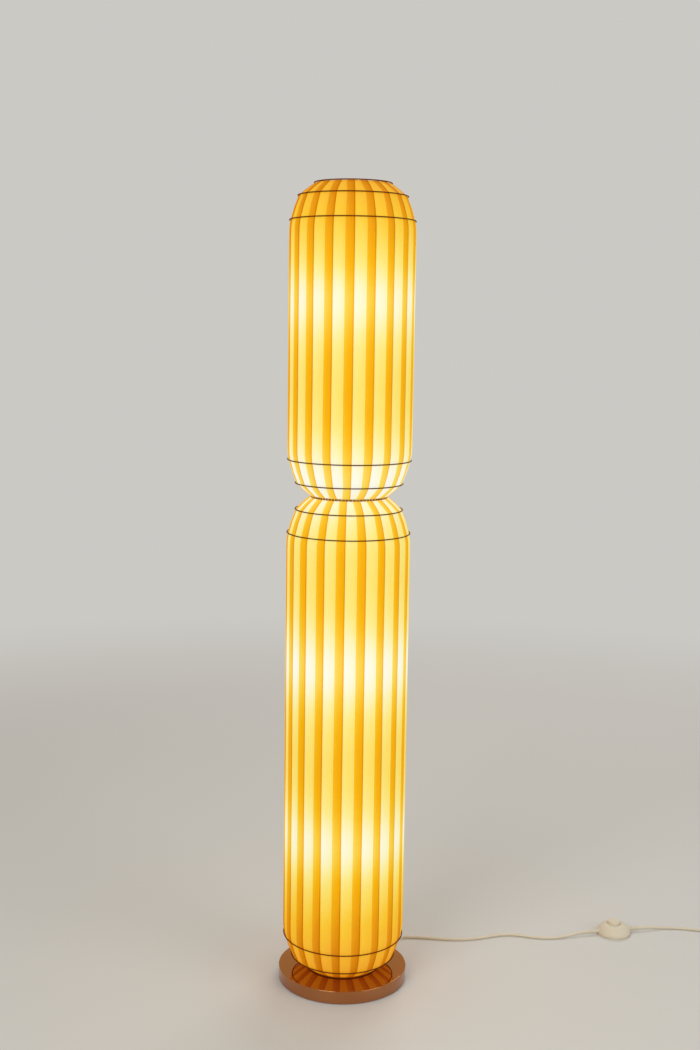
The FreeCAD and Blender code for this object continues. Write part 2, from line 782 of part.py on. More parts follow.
def switch_button():
    flange_top = dome_top - switch_wall - seat_gap
    flange_bottom = flange_top - button_flange_height
    cap = disc(button_radius, flange_bottom, button_top)
    rim = [edge for edge in cap.Edges if edge.BoundBox.ZMin > button_top - 0.01]
    cap = cap.makeFillet(button_edge_radius, rim)
    cap = cap.fuse(disc(button_radius + button_flange, flange_bottom, flange_top))
    cap = cap.cut(disc(button_radius - button_wall, flange_bottom, button_top - button_wall))
    stem_bottom = switch_floor + block_height + button_travel + stem_gap
    return cap.fuse(disc(stem_radius, stem_bottom, button_top - button_wall)).removeSplitter()


def switch_spring():
    bottom = switch_floor + block_height + seat_gap / 2 + spring_wire / 2
    top = button_top - button_wall - seat_gap / 2 - spring_wire / 2
    helix = Part.makeHelix((top - bottom) / spring_turns, top - bottom, spring_radius)
    profile = Part.Wire(Part.makeCircle(spring_wire / 2, FreeCAD.Vector(spring_radius, 0, 0),
                                        FreeCAD.Vector(0, 1, 0)))
    spring = Part.Wire(helix.Edges).makePipeShell([profile], True, True)
    spring.translate(FreeCAD.Vector(0, 0, bottom))
    return spring


def switch_block():
    block = Part.makeBox(block_length, block_width, block_height,
                         FreeCAD.Vector(-block_length / 2, -block_width / 2, switch_floor))
    upright = [edge for edge in block.Edges if edge.BoundBox.ZLength > block_height - 0.01]
    return block.makeFillet(block_corner, upright)


def switch_terminals():
    top = switch_floor + block_height
    return [disc(terminal_radius, top, top + terminal_height, x * terminal_x, y * terminal_y)
            for x in (-1, 1) for y in (-1, 1)]


def strain_relief(side):
    inner = side * relief_seat
    flange = rod(FreeCAD.Vector(inner - side * relief_flange_length, 0, relief_height),
                 FreeCAD.Vector(inner, 0, relief_height), relief_flange_radius)
    body = rod(FreeCAD.Vector(inner, 0, relief_height),
               FreeCAD.Vector(side * switch_radius, 0, relief_height), relief_radius)
    tail = Part.makeCone(relief_radius, cord_radius + relief_tip_wall, relief_length,
                         FreeCAD.Vector(side * switch_radius, 0, relief_height),
                         FreeCAD.Vector(side, 0, 0))
    return flange.fuse([body, tail]).removeSplitter()


def switch_lead(side):
    outer = side * (relief_seat - relief_flange_length)
    inner = side * block_length / 2
    return rod(FreeCAD.Vector(inner, 0, relief_height), FreeCAD.Vector(outer, 0, relief_height),
               wire_diameter / 2)


def placed(shape):
    shape = shape.copy()
    shape.Placement = switch_place.multiply(shape.Placement)
    return shape


os.makedirs("parts", exist_ok=True)

save("base_cover", base_cover())
save("base_weight", base_weight())
save("base_felt", disc(base_radius - felt_inset, 0, felt_thickness))
save("base_washer", pipe(washer_radius, stud_radius + spigot_clearance,
                         nut_recess_top - washer_thickness, nut_recess_top))
save("base_nut", base_nut())
save("pole_stud", pole_stud())
save("lower_pole", pole_tube(stud_top, lower_joint_height))
save("lower_coupler", pole_coupler(lower_joint_height, lower_joint_height + collar_height,
                                   lower_joint_height + collar_height))
save("middle_pole", pole_tube(lower_joint_height + collar_height, hub_bottom - collar_height))
save("waist_coupler", pole_coupler(hub_bottom - collar_height, hub_bottom, hub_bottom + hoop_wire))
save("upper_pole", pole_tube(hub_bottom + hoop_wire, top_hub_bottom - collar_height))
save("pole_top_plug", pole_top_plug())
save("finial_nut", finial_nut())

save("bottom_spider", spider(foot_ring_height, stud_radius + spigot_clearance))
save("waist_spider", spider(waist_height, spigot_radius + spigot_clearance))
save("top_spider", spider(lantern_top, finial_thread_radius + spigot_clearance))
save("upper_waist_ring", ring(end_ring_radius, upper_ring_height, wire_radius))
hoops = {
    "lower_foot_mid_hoop": (mid_hoop_radius, foot_ring_height + mid_hoop_rise),
    "lower_foot_hoop": (full_hoop_radius, foot_ring_height + foot_cap_height),
    "lower_shoulder_hoop": (full_hoop_radius, waist_height - cap_height),
    "lower_shoulder_mid_hoop": (mid_hoop_radius, waist_height - mid_hoop_rise),
    "upper_foot_mid_hoop": (mid_hoop_radius, upper_ring_height + mid_hoop_rise),
    "upper_foot_hoop": (full_hoop_radius, upper_ring_height + cap_height),
    "upper_shoulder_hoop": (full_hoop_radius, lantern_top - cap_height),
    "upper_shoulder_mid_hoop": (mid_hoop_radius, lantern_top - mid_hoop_rise)}
for name, (radius, height) in hoops.items():
    save(name, ring(radius, height, wire_radius))

ring_seat = wire_radius + cloth_seat_gap
lashed_seat = wire_radius + 2 * thread_diameter + seat_gap / 2
save("lower_shade", pleated_shade(lantern_outline(foot_ring_height, waist_height, foot_cap_height,
                                                  ring_seat, lashed_seat), lower_pleat_turn))
save("upper_shade", pleated_shade(lantern_outline(upper_ring_height, lantern_top, cap_height,
                                                  lashed_seat, ring_seat), upper_pleat_turn))
stitch_count = stitches_between_arms * spider_arms
first_stitch = turned_by(waist_stitch(), 90.0 + 180.0 / stitch_count)
save("waist_lashing", *turn_copies(first_stitch, stitch_count))

for index, height in enumerate(light_heights, 1):
    save("light_plate_%d" % index, light_plate(height))
    save("led_board_%d" % index, led_board(height))
    save("diffuser_%d" % index, diffuser(height))
save("set_screws", *[set_screw(height) for height in light_heights])
save("module_leads", *[module_lead(index, height) for index, height in enumerate(light_heights, 1)])
save("inner_wire", inner_wire())

save("cord_gland", cord_gland())
save("lamp_cord", route_tube("lamp_cord", lamp_cord_points(), cord_diameter))
save("plug_cord", route_tube("plug_cord", plug_cord_points(), cord_diameter))
save("cord_coil", cord_coil())
save("cord_tail", route_tube("cord_tail", tail_points(), cord_diameter))
save("cord_tie", cord_tie())
save("plug_body", plug_body())
save("plug_pins", plug_pin(-1), plug_pin(1))

save("switch_base", placed(switch_base()))
save("switch_cover", placed(switch_cover()))
save("switch_button", placed(switch_button()))
save("switch_spring", placed(switch_spring()))
save("switch_block", placed(switch_block()))
save("switch_terminals", *[placed(shape) for shape in switch_terminals()])
save("switch_screws", *[placed(shape) for shape in switch_screw_place(switch_screw())])
save("switch_reliefs", placed(strain_relief(-1)), placed(strain_relief(1)))
save("switch_leads", placed(switch_lead(-1)), placed(switch_lead(1)))
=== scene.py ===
import math

import bmesh
import bpy
from mathutils import Matrix, Vector, noise


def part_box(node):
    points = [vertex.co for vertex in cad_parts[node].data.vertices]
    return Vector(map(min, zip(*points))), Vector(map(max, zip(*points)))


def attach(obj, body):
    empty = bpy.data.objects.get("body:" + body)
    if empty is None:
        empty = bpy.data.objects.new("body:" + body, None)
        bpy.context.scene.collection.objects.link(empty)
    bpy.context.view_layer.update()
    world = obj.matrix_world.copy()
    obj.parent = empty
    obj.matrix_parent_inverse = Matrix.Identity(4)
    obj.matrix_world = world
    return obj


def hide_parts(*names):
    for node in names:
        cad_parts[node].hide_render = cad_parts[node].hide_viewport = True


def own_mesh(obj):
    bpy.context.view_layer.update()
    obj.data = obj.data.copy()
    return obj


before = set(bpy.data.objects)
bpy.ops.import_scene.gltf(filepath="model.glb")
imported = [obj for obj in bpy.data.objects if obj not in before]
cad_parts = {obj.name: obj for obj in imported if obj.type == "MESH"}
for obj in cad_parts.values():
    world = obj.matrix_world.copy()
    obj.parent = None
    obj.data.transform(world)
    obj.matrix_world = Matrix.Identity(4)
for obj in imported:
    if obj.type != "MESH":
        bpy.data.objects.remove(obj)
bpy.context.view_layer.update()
print("frame loaded")

# Places that the pieces share, read from the frame or worked out from it

wireRadius = 0.0011
cordDiameter = 0.0054
lightNumbers = (1, 2, 3, 4)
lightHeights = [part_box("led_board_%d" % number)[1].z for number in lightNumbers]
hoopNodes = {lantern: ["%s_%s_hoop" % (lantern, place)
                       for place in ("foot_mid", "foot", "shoulder", "shoulder_mid")]
             for lantern in ("lower", "upper")}
switchPlace = {"centre": (0.5665, 0.2095), "turn": math.radians(12)}
switchMatrix = (Matrix.Translation((*switchPlace["centre"], 0))
                @ Matrix.Rotation(switchPlace["turn"], 4, "Z"))


def hoopCentre(node):
    low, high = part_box(node)
    return high.x - wireRadius, (low.z + high.z) / 2


# Camera

camera = {"place": (0.00274, -2.569, 1.2407), "tiltDown": 7.93, "roll": 0.0146,
          "lens": 47.89, "sensor": 36.0}


def makeCamera(values):
    data = bpy.data.cameras.new("camera")
    data.sensor_fit = "VERTICAL"
    data.sensor_height = values["sensor"]
    data.lens = values["lens"]
    made = bpy.data.objects.new("camera", data)
    bpy.context.scene.collection.objects.link(made)
    tilt = Matrix.Rotation(math.radians(90 - values["tiltDown"]), 4, "X")
    roll = Matrix.Rotation(values["roll"], 4, "Z")
    made.matrix_world = Matrix.Translation(values["place"]) @ tilt @ roll
    bpy.context.scene.camera = made


makeCamera(camera)
print("camera placed")

# Node helpers


def addNode(tree, kind, inputs=None, **settings):
    node = tree.nodes.new(kind)
    for key, value in settings.items():
        setattr(node, key, value)
    for key, value in (inputs or {}).items():
        if isinstance(value, bpy.types.NodeSocket):
            tree.links.new(value, node.inputs[key])
        else:
            node.inputs[key].default_value = value
    return node


def mathNode(tree, operation, first, second=0.0, clamp=False):
    return addNode(tree, "ShaderNodeMath", {0: first, 1: second},
                   operation=operation, use_clamp=clamp).outputs[0]


def mixValue(tree, factor, low, high):
    return addNode(tree, "ShaderNodeMix", {0: factor, 2: low, 3: high}, data_type="FLOAT").outputs[0]


def mixColour(tree, factor, low, high):
    return addNode(tree, "ShaderNodeMix", {0: factor, 6: low, 7: high}, data_type="RGBA").outputs[2]


def objectPoint(tree):
    return addNode(tree, "ShaderNodeTexCoord").outputs["Object"]


def colour(red, green, blue):
    return (red, green, blue, 1.0)


def newGroup(name, inputs, outputs):
    tree = bpy.data.node_groups.new(name, "ShaderNodeTree")
    for socket, kind in inputs:
        tree.interface.new_socket(name=socket, in_out="INPUT", socket_type=kind)
    for socket in outputs:
        tree.interface.new_socket(name=socket, in_out="OUTPUT", socket_type="NodeSocketFloat")
    return tree, tree.nodes.new("NodeGroupInput"), tree.nodes.new("NodeGroupOutput")


def useGroup(tree, group, inputs):
    return addNode(tree, "ShaderNodeGroup", inputs, node_tree=group)


# Effects that several materials share

pointAndScale = [("Point", "NodeSocketVector"), ("Scale", "NodeSocketFloat")]
mottlePattern = {"detail": 5.0, "grainRatio": 14.0, "grainDetail": 3.0}


def makeMottleGroup(values):
    tree, given, out = newGroup("mottle", pointAndScale, ("Value", "Grain"))
    point, scale = given.outputs["Point"], given.outputs["Scale"]
    broad = addNode(tree, "ShaderNodeTexNoise", {"Vector": point, "Scale": scale,
                                                 "Detail": values["detail"]})
    fineScale = mathNode(tree, "MULTIPLY", scale, values["grainRatio"])
    fine = addNode(tree, "ShaderNodeTexNoise", {"Vector": point, "Scale": fineScale,
                                                "Detail": values["grainDetail"]})
    tree.links.new(broad.outputs[0], out.inputs["Value"])
    tree.links.new(fine.outputs[0], out.inputs["Grain"])
    return tree


scratchPattern = {"turns": (0.4, 1.9), "stretch": 26.0, "detail": 2.0, "cutLow": 0.66, "cutHigh": 0.74}


def makeScratchGroup(values):
    tree, given, out = newGroup("hairScratches", pointAndScale, ("Mask",))
    masks = []
    for turn in values["turns"]:
        turned = addNode(tree, "ShaderNodeMapping", {"Vector": given.outputs["Point"],
                                                     "Rotation": (0.0, 0.0, turn),
                                                     "Scale": (1.0, values["stretch"], 1.0)})
        streaks = addNode(tree, "ShaderNodeTexNoise", {"Vector": turned.outputs[0],
                                                       "Scale": given.outputs["Scale"],
                                                       "Detail": values["detail"]})
        thin = addNode(tree, "ShaderNodeMapRange", {"Value": streaks.outputs[0],
                                                    "From Min": values["cutLow"],
                                                    "From Max": values["cutHigh"]})
        masks.append(thin.outputs[0])
    tree.links.new(mathNode(tree, "MAXIMUM", *masks), out.inputs["Mask"])
    return tree


weavePattern = {"slubStretch": (0.9, 0.06, 1.0), "slubDetail": 3.0}


def makeWeaveGroup(values):
    tree, given, out = newGroup("weave", pointAndScale, ("Height", "Slub"))
    scaled = addNode(tree, "ShaderNodeVectorMath", {0: given.outputs["Point"],
                                                    "Scale": given.outputs["Scale"]}, operation="SCALE")
    parts = addNode(tree, "ShaderNodeSeparateXYZ", {0: scaled.outputs[0]})
    threads = []
    for axis in (0, 1):
        wave = mathNode(tree, "SINE", mathNode(tree, "MULTIPLY", parts.outputs[axis], 2 * math.pi))
        threads.append(mathNode(tree, "ABSOLUTE", wave))
    height = mathNode(tree, "MULTIPLY", mathNode(tree, "ADD", *threads), 0.5)
    stretched = addNode(tree, "ShaderNodeMapping", {"Vector": scaled.outputs[0],
                                                    "Scale": values["slubStretch"]})
    slub = addNode(tree, "ShaderNodeTexNoise", {"Vector": stretched.outputs[0], "Scale": 1.0,
                                                "Detail": values["slubDetail"]})
    tree.links.new(height, out.inputs["Height"])
    tree.links.new(slub.outputs[0], out.inputs["Slub"])
    return tree


mottleGroup = makeMottleGroup(mottlePattern)
scratchGroup = makeScratchGroup(scratchPattern)
weaveGroup = makeWeaveGroup(weavePattern)


def newMaterial(name):
    made = bpy.data.materials.new(name)
    made.use_nodes = True
    made.node_tree.nodes.clear()
    return made


def closeMaterial(made, inputs, height, bumpDistance, bumpStrength=0.5):
    tree = made.node_tree
    shader = addNode(tree, "ShaderNodeBsdfPrincipled", inputs)
    bump = addNode(tree, "ShaderNodeBump", {"Height": height, "Distance": bumpDistance,
                                            "Strength": bumpStrength})
    tree.links.new(bump.outputs[0], shader.inputs["Normal"])
    output = addNode(tree, "ShaderNodeOutputMaterial")
    tree.links.new(shader.outputs[0], output.inputs[0])
    return made


def plainFinish(name, dark, light, scale, roughness, bump=0.00003, constants=None):
    made = newMaterial(name)
    tree = made.node_tree
    mottle = useGroup(tree, mottleGroup, {"Point": objectPoint(tree), "Scale": scale})
    value = mottle.outputs["Value"]
    inputs = {"Base Color": mixColour(tree, value, dark, light),
              "Roughness": mixValue(tree, value, *roughness)}
    inputs.update(constants or {})
    return closeMaterial(made, inputs, mottle.outputs["Grain"], bump)


def scratchedRoughness(tree, point, scratchScale, value, roughness, depth):
    # the mottle varies the roughness, and hair scratches add to it
    scratches = useGroup(tree, scratchGroup, {"Point": point, "Scale": scratchScale})
    level = mixValue(tree, value, *roughness)
    deep = mathNode(tree, "MULTIPLY", scratches.outputs["Mask"], depth)
    return mathNode(tree, "ADD", level, deep, clamp=True)


metalLook = {"scratchScale": 30.0, "scratch": 0.15, "bump": 0.00002}


def metalFinish(name, dark, light, scale, roughness):
    made = newMaterial(name)
    tree = made.node_tree
    point = objectPoint(tree)
    mottle = useGroup(tree, mottleGroup, {"Point": point, "Scale": scale})
    value = mottle.outputs["Value"]
    worn = scratchedRoughness(tree, point, metalLook["scratchScale"], value, roughness,
                              metalLook["scratch"])
    return closeMaterial(made, {"Base Color": mixColour(tree, value, dark, light), "Roughness": worn,
                                "Metallic": 1.0}, mottle.outputs["Grain"], metalLook["bump"])


# Cloth: it glows where light from the four rings falls on it, and less where three layers lie together

glow = {"reach": 0.063, "fall": 0.52, "response": 0.64, "loss": 0.29, "rise": 0.0047,
        "tripleShare": 0.67, "tripleLoss": 0.18, "foldLoss": 0.20, "roomLight": 0.80,
        "ramp": [(0.0, colour(0.60, 0.18, 0.001)), (0.1, colour(0.76, 0.28, 0.001)),
                 (0.2, colour(0.87, 0.38, 0.0015)), (0.3, colour(0.93, 0.45, 0.004)),
                 (0.4, colour(0.96, 0.55, 0.025)), (0.5, colour(0.975, 0.66, 0.08)),
                 (0.6, colour(0.985, 0.75, 0.15)), (0.7, colour(0.99, 0.83, 0.26)),
                 (0.8, colour(0.99, 0.90, 0.46)), (0.9, colour(0.99, 0.95, 0.68)),
                 (1.0, colour(0.99, 0.98, 0.90))]}
# painted light: single and triple are the cloth's lit amber glow colours, the triple one darker and
# redder as painted shade where three layers hold back the light
clothFinishAndGlow = {"single": colour(0.42, 0.28, 0.05), "triple": colour(0.40, 0.15, 0.003),
               "threads": 1100.0, "cloudScale": 22.0, "fibre": 0.10, "cloud": 0.06, "thread": 0.05,
               "threadMiddle": 0.6, "roughness": (0.72, 0.86), "shine": 0.03, "bump": 0.00012,
               "bumpStrength": 0.6}


def ringLight(tree, height):
    total = None
    for ring in lightHeights:
        above = mathNode(tree, "SUBTRACT", height, ring + glow["rise"])
        away = mathNode(tree, "DIVIDE", above, glow["reach"])
        spread = mathNode(tree, "ADD", mathNode(tree, "MULTIPLY", away, away), 1.0)
        share = mathNode(tree, "POWER", spread, -glow["fall"])
        total = share if total is None else mathNode(tree, "ADD", total, share)
    return mathNode(tree, "SUBTRACT", mathNode(tree, "POWER", total, glow["response"]), glow["loss"])


def unevenness(tree, value, middle, amount):
    # a pattern's value as a small change up or down
    return mathNode(tree, "MULTIPLY", mathNode(tree, "SUBTRACT", value, middle), amount)


def glowRamp(tree, level):
    ramp = addNode(tree, "ShaderNodeValToRGB", {0: level})
    stops = ramp.color_ramp.elements
    for position, shade in glow["ramp"][1:-1]:
        stops.new(position).color = shade
    stops[0].color = glow["ramp"][0][1]
    stops[len(stops) - 1].color = glow["ramp"][-1][1]
    return ramp.outputs[0]


def makeClothMaterial(values):
    made = newMaterial("pleatedCloth")
    tree = made.node_tree
    point = objectPoint(tree)
    layers = addNode(tree, "ShaderNodeAttribute", attribute_name="layers").outputs["Fac"]
    fold = addNode(tree, "ShaderNodeAttribute", attribute_name="fold").outputs["Fac"]
    clothPoint = addNode(tree, "ShaderNodeUVMap", uv_map="cloth").outputs[0]
    height = addNode(tree, "ShaderNodeSeparateXYZ", {0: point}).outputs["Z"]
    weave = useGroup(tree, weaveGroup, {"Point": clothPoint, "Scale": values["threads"]})
    mottle = useGroup(tree, mottleGroup, {"Point": point, "Scale": values["cloudScale"]})
    single = ringLight(tree, height)
    triple = mathNode(tree, "MULTIPLY", single, glow["tripleShare"])
    triple = mathNode(tree, "SUBTRACT", triple, glow["tripleLoss"])
    # painted shade: less glow where three layers lie, and a darker line along each fold's seen edge
    level = mixValue(tree, layers, single, triple)
    level = mathNode(tree, "SUBTRACT", level, mathNode(tree, "MULTIPLY", fold, glow["foldLoss"]))
    for value, middle, amount in ((weave.outputs["Slub"], 0.5, values["fibre"]),
                                  (mottle.outputs["Value"], 0.5, values["cloud"]),
                                  (weave.outputs["Height"], values["threadMiddle"], values["thread"])):
        level = mathNode(tree, "ADD", level, unevenness(tree, value, middle, amount))
    # the glow is the wanted colour less what the room's light already gives the cloth
    # painted shade: the base colour also turns darker and redder where three layers lie
    base = mixColour(tree, layers, values["single"], values["triple"])
    lit = addNode(tree, "ShaderNodeVectorMath", {0: base, "Scale": glow["roomLight"]},
                  operation="SCALE")
    rest = addNode(tree, "ShaderNodeVectorMath", {0: glowRamp(tree, level), 1: lit.outputs[0]},
                   operation="SUBTRACT")
    shown = addNode(tree, "ShaderNodeVectorMath", {0: rest.outputs[0], 1: (0.0, 0.0, 0.0)},
                    operation="MAXIMUM")
    roughness = mixValue(tree, mottle.outputs["Value"], *values["roughness"])
    return closeMaterial(made, {"Base Color": base, "Roughness": roughness,
                                "Emission Color": shown.outputs[0], "Emission Strength": 1.0,
                                "Specular IOR Level": values["shine"]},
                         weave.outputs["Height"], values["bump"], values["bumpStrength"])


# Base lacquer: clear, deep and mirror smooth, with a little orange peel and hair scratches

lacquer = {"dark": colour(0.14, 0.022, 0.004), "light": colour(0.21, 0.038, 0.007), "grainScale": 9.0,
           "grainStretch": 6.0, "peelScale": 260.0, "peelDetail": 1.0, "roughness": (0.03, 0.07),
           "scratchScale": 24.0, "scratch": 0.08, "index": 2.1, "tint": colour(1.0, 0.52, 0.16),
           "coat": 0.8, "coatRoughness": 0.03, "bump": 0.000015, "bumpStrength": 0.25}


def makeLacquer(values):
    made = newMaterial("chestnutLacquer")
    tree = made.node_tree
    point = objectPoint(tree)
    along = addNode(tree, "ShaderNodeMapping", {"Vector": point,
                                                "Scale": (1.0, values["grainStretch"], 1.0)})
    mottle = useGroup(tree, mottleGroup, {"Point": along.outputs[0], "Scale": values["grainScale"]})
    value = mottle.outputs["Value"]
    peel = addNode(tree, "ShaderNodeTexNoise", {"Vector": point, "Scale": values["peelScale"],
                                                "Detail": values["peelDetail"]})
    worn = scratchedRoughness(tree, point, values["scratchScale"], value, values["roughness"],
                              values["scratch"])
    return closeMaterial(made, {"Base Color": mixColour(tree, value, values["dark"], values["light"]),
                                "Roughness": worn, "IOR": values["index"], "Specular IOR Level": 1.0,
                                "Specular Tint": values["tint"], "Coat Weight": values["coat"],
                                "Coat Roughness": values["coatRoughness"]},
                         peel.outputs[0], values["bump"], values["bumpStrength"])


# Woven and lit finishes

wovenLook = {"roughness": (0.95, 0.8), "sheen": 0.3, "shine": 0.2}


def makeWovenFinish(name, dark, light, threads, bump, constants=None):
    made = newMaterial(name)
    tree = made.node_tree
    weave = useGroup(tree, weaveGroup, {"Point": objectPoint(tree), "Scale": threads})
    inputs = {"Base Color": mixColour(tree, weave.outputs["Slub"], dark, light),
              "Roughness": mixValue(tree, weave.outputs["Height"], *wovenLook["roughness"]),
              "Sheen Weight": wovenLook["sheen"], "Specular IOR Level": wovenLook["shine"]}
    inputs.update(constants or {})
    return closeMaterial(made, inputs, weave.outputs["Height"], bump)


opalFinish = {"base": colour(0.86, 0.82, 0.74), "dark": colour(1.0, 0.80, 0.42),
              "light": colour(1.0, 0.88, 0.55), "scale": 30.0, "roughness": 0.4, "strength": 2.2,
              "bump": 0.00002}
boardFinish = {"dark": colour(0.78, 0.77, 0.72), "light": colour(0.86, 0.85, 0.80),
               "lit": colour(1.0, 0.78, 0.42), "scale": 60.0, "roughness": 0.35, "strength": 1.0,
               "bump": 0.00002}


def makeOpal(values):
    made = newMaterial("opalDiffuser")
    tree = made.node_tree
    mottle = useGroup(tree, mottleGroup, {"Point": objectPoint(tree), "Scale": values["scale"]})
    glowing = mixColour(tree, mottle.outputs["Value"], values["dark"], values["light"])
    return closeMaterial(made, {"Base Color": values["base"], "Roughness": values["roughness"],
                                "Emission Color": glowing, "Emission Strength": values["strength"]},
                         mottle.outputs["Grain"], values["bump"])


def makeBoard(values):
    made = newMaterial("ringBoard")
    tree = made.node_tree
    mottle = useGroup(tree, mottleGroup, {"Point": objectPoint(tree), "Scale": values["scale"]})
    coating = mixColour(tree, mottle.outputs["Value"], values["dark"], values["light"])
    return closeMaterial(made, {"Base Color": coating, "Roughness": values["roughness"],
                                "Emission Color": values["lit"],
                                "Emission Strength": values["strength"]},
                         mottle.outputs["Grain"], values["bump"])


wireColours = ((0.12, 0.029, 0.003), (0.18, 0.047, 0.006))
cordColours = ((0.66, 0.58, 0.43), (0.76, 0.69, 0.54))
switchColours = ((0.68, 0.60, 0.45), (0.76, 0.69, 0.54))
# painted glow: the lashing thread is no lamp and is given the lanterns' light as its own emission
threadGlow = {"Emission Color": colour(0.42, 0.19, 0.015), "Emission Strength": 1.0}

# each finish: its name, dark and light colour, then what its own function takes
plainFinishes = {
    "wire": ("wireLacquer", *wireColours, 90.0, (0.45, 0.60), 0.00002, {"Specular IOR Level": 0.06}),
    "cord": ("cordIvory", *cordColours, 40.0, (0.34, 0.48), 0.00002, {"Coat Weight": 0.1}),
    "relief": ("reliefIvory", *cordColours, 55.0, (0.40, 0.55), 0.00004),
    "switch": ("switchIvory", *switchColours, 34.0, (0.46, 0.60), 0.00005),
    "iron": ("castIron", (0.03, 0.03, 0.032), (0.07, 0.068, 0.065), 60.0, (0.55, 0.75), 0.0002,
             {"Metallic": 0.6}),
    "pole": ("poleWhite", (0.74, 0.71, 0.65), (0.82, 0.80, 0.74), 25.0, (0.35, 0.5)),
    "plate": ("moduleWhite", (0.70, 0.67, 0.60), (0.79, 0.76, 0.69), 35.0, (0.4, 0.55)),
    "wireInsulation": ("clearInsulation", (0.55, 0.50, 0.42), (0.68, 0.64, 0.55), 80.0, (0.3, 0.45)),
    "inside": ("contactBlock", (0.05, 0.05, 0.055), (0.09, 0.09, 0.10), 70.0, (0.4, 0.6)),
}
metalFinishes = {
    "zinc": ("zincPlate", (0.52, 0.52, 0.50), (0.66, 0.65, 0.61), 45.0, (0.28, 0.42)),
    "steel": ("springSteel", (0.38, 0.37, 0.36), (0.50, 0.49, 0.47), 80.0, (0.2, 0.35)),
    "brass": ("brass", (0.62, 0.40, 0.14), (0.74, 0.51, 0.20), 60.0, (0.18, 0.30)),
}
wovenFinishes = {
    "thread": ("lashingThread", (0.42, 0.22, 0.05), (0.60, 0.36, 0.10), 2600.0, 0.00008, threadGlow),
    "felt": ("greyFelt", (0.05, 0.05, 0.05), (0.11, 0.11, 0.11), 900.0, 0.0002),
    "strap": ("tieStrap", (0.70, 0.64, 0.52), (0.80, 0.75, 0.63), 1500.0, 0.0001),
}
finishes = {"cloth": makeClothMaterial(clothFinishAndGlow), "lacquer": makeLacquer(lacquer),
            "opal": makeOpal(opalFinish), "board": makeBoard(boardFinish)}
for make, table in ((plainFinish, plainFinishes), (metalFinish, metalFinishes),
                    (makeWovenFinish, wovenFinishes)):
    for key, (name, dark, light, *others) in table.items():
        finishes[key] = make(name, colour(*dark), colour(*light), *others)
print("materials made:", len(finishes))

# Carried-over nodes and their finishes

nodeFinishes = {
    "iron": ["base_weight"],
    "felt": ["base_felt"],
    "zinc": ["base_washer", "base_nut", "pole_stud", "lower_coupler", "waist_coupler", "pole_top_plug",
             "set_screws", "switch_screws", "plug_pins"],
    "brass": ["finial_nut", "switch_terminals"],
    "pole": ["lower_pole", "middle_pole", "upper_pole"],
    "thread": ["waist_lashing"],
    "plate": ["light_plate_%d" % number for number in lightNumbers],
    "board": ["led_board_%d" % number for number in lightNumbers],
    "opal": ["diffuser_%d" % number for number in lightNumbers],
    "wireInsulation": ["module_leads", "inner_wire", "switch_leads"],
    "strap": ["cord_tie"],
    "switch": ["switch_base"],
    "inside": ["switch_block"],
}
for finish, nodes in nodeFinishes.items():
    for node in nodes:
        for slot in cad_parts[node].material_slots:
            slot.material = finishes[finish]
print("carried-over nodes finished")

# Mesh helpers


def addPiece(name, mesh, finish, node, body="lamp"):
    made = bpy.data.objects.new(name, mesh)
    bpy.context.scene.collection.objects.link(made)
    mesh.materials.append(finishes[finish])
    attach(made, body)
    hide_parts(node)
    return made


def smoothMesh(bm, name, sharpAngle):
    mesh = bpy.data.meshes.new(name)
    bm.to_mesh(mesh)
    bm.free()
    mesh.shade_smooth()
    mesh.set_sharp_from_angle(angle=math.radians(sharpAngle))
    return mesh


def closePiece(bm, name, finish, node, sharpAngle=35.0, body="lamp"):
    bmesh.ops.remove_doubles(bm, verts=bm.verts[:], dist=1e-6)
    bmesh.ops.recalc_face_normals(bm, faces=bm.faces[:])
    return addPiece(name, smoothMesh(bm, name, sharpAngle), finish, node, body)


def spinOutline(bm, outline, steps, closed=True, axis=(0, 0, 1)):
    made = [bm.verts.new(point) for point in outline]
    edges = [bm.edges.new(pair) for pair in zip(made, made[1:])]
    if closed:
        edges.append(bm.edges.new((made[-1], made[0])))
    bmesh.ops.spin(bm, geom=made + edges, cent=(0, 0, 0), axis=axis, dvec=(0, 0, 0),
                   angle=2 * math.pi, steps=steps, use_merge=True)


def roundedCorner(centre, radius, start, end, steps):
    turns = [math.radians(start + (end - start) * index / steps) for index in range(steps + 1)]
    return [(centre[0] + radius * math.cos(turn), 0.0, centre[1] + radius * math.sin(turn))
            for turn in turns]


# Base cover

baseCover = {"wall": 0.0016, "edge": 0.0014, "edgeSteps": 6, "hole": 0.00505, "steps": 160,
             "bead": 0.0006, "sharpAngle": 28.0}


def makeBaseCover(values):
    low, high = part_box("base_cover")
    radius = high.x
    inner = radius - values["wall"]
    corner = (radius - values["edge"], high.z - values["edge"])
    outline = [(values["hole"], 0.0, high.z)]
    outline += roundedCorner(corner, values["edge"], 90, 0, values["edgeSteps"])
    outline += [(radius, 0.0, low.z + values["bead"]), (radius - values["bead"], 0.0, low.z),
                (inner, 0.0, low.z), (inner, 0.0, high.z - values["wall"]),
                (values["hole"], 0.0, high.z - values["wall"])]
    bm = bmesh.new()
    spinOutline(bm, outline, values["steps"])
    return closePiece(bm, "baseCover", "lacquer", "base_cover", values["sharpAngle"])


makeBaseCover(baseCover)
print("base cover made")

# Hoops, rings and spiders

wireFrame = {"sides": 12, "steps": 160, "hub": 0.017, "hubEdge": 0.0004, "hubSteps": 72, "arms": 3,
             "armStart": 90.0, "hoopSharp": 60.0, "spiderSharp": 40.0,
             "bores": {"bottom_spider": 0.0051, "waist_spider": 0.0066, "top_spider": 0.0031},
             "hoops": ["upper_waist_ring"] + hoopNodes["lower"] + hoopNodes["upper"]}


def camelName(node):
    first, *others = node.split("_")
    return first + "".join(word.capitalize() for word in others)


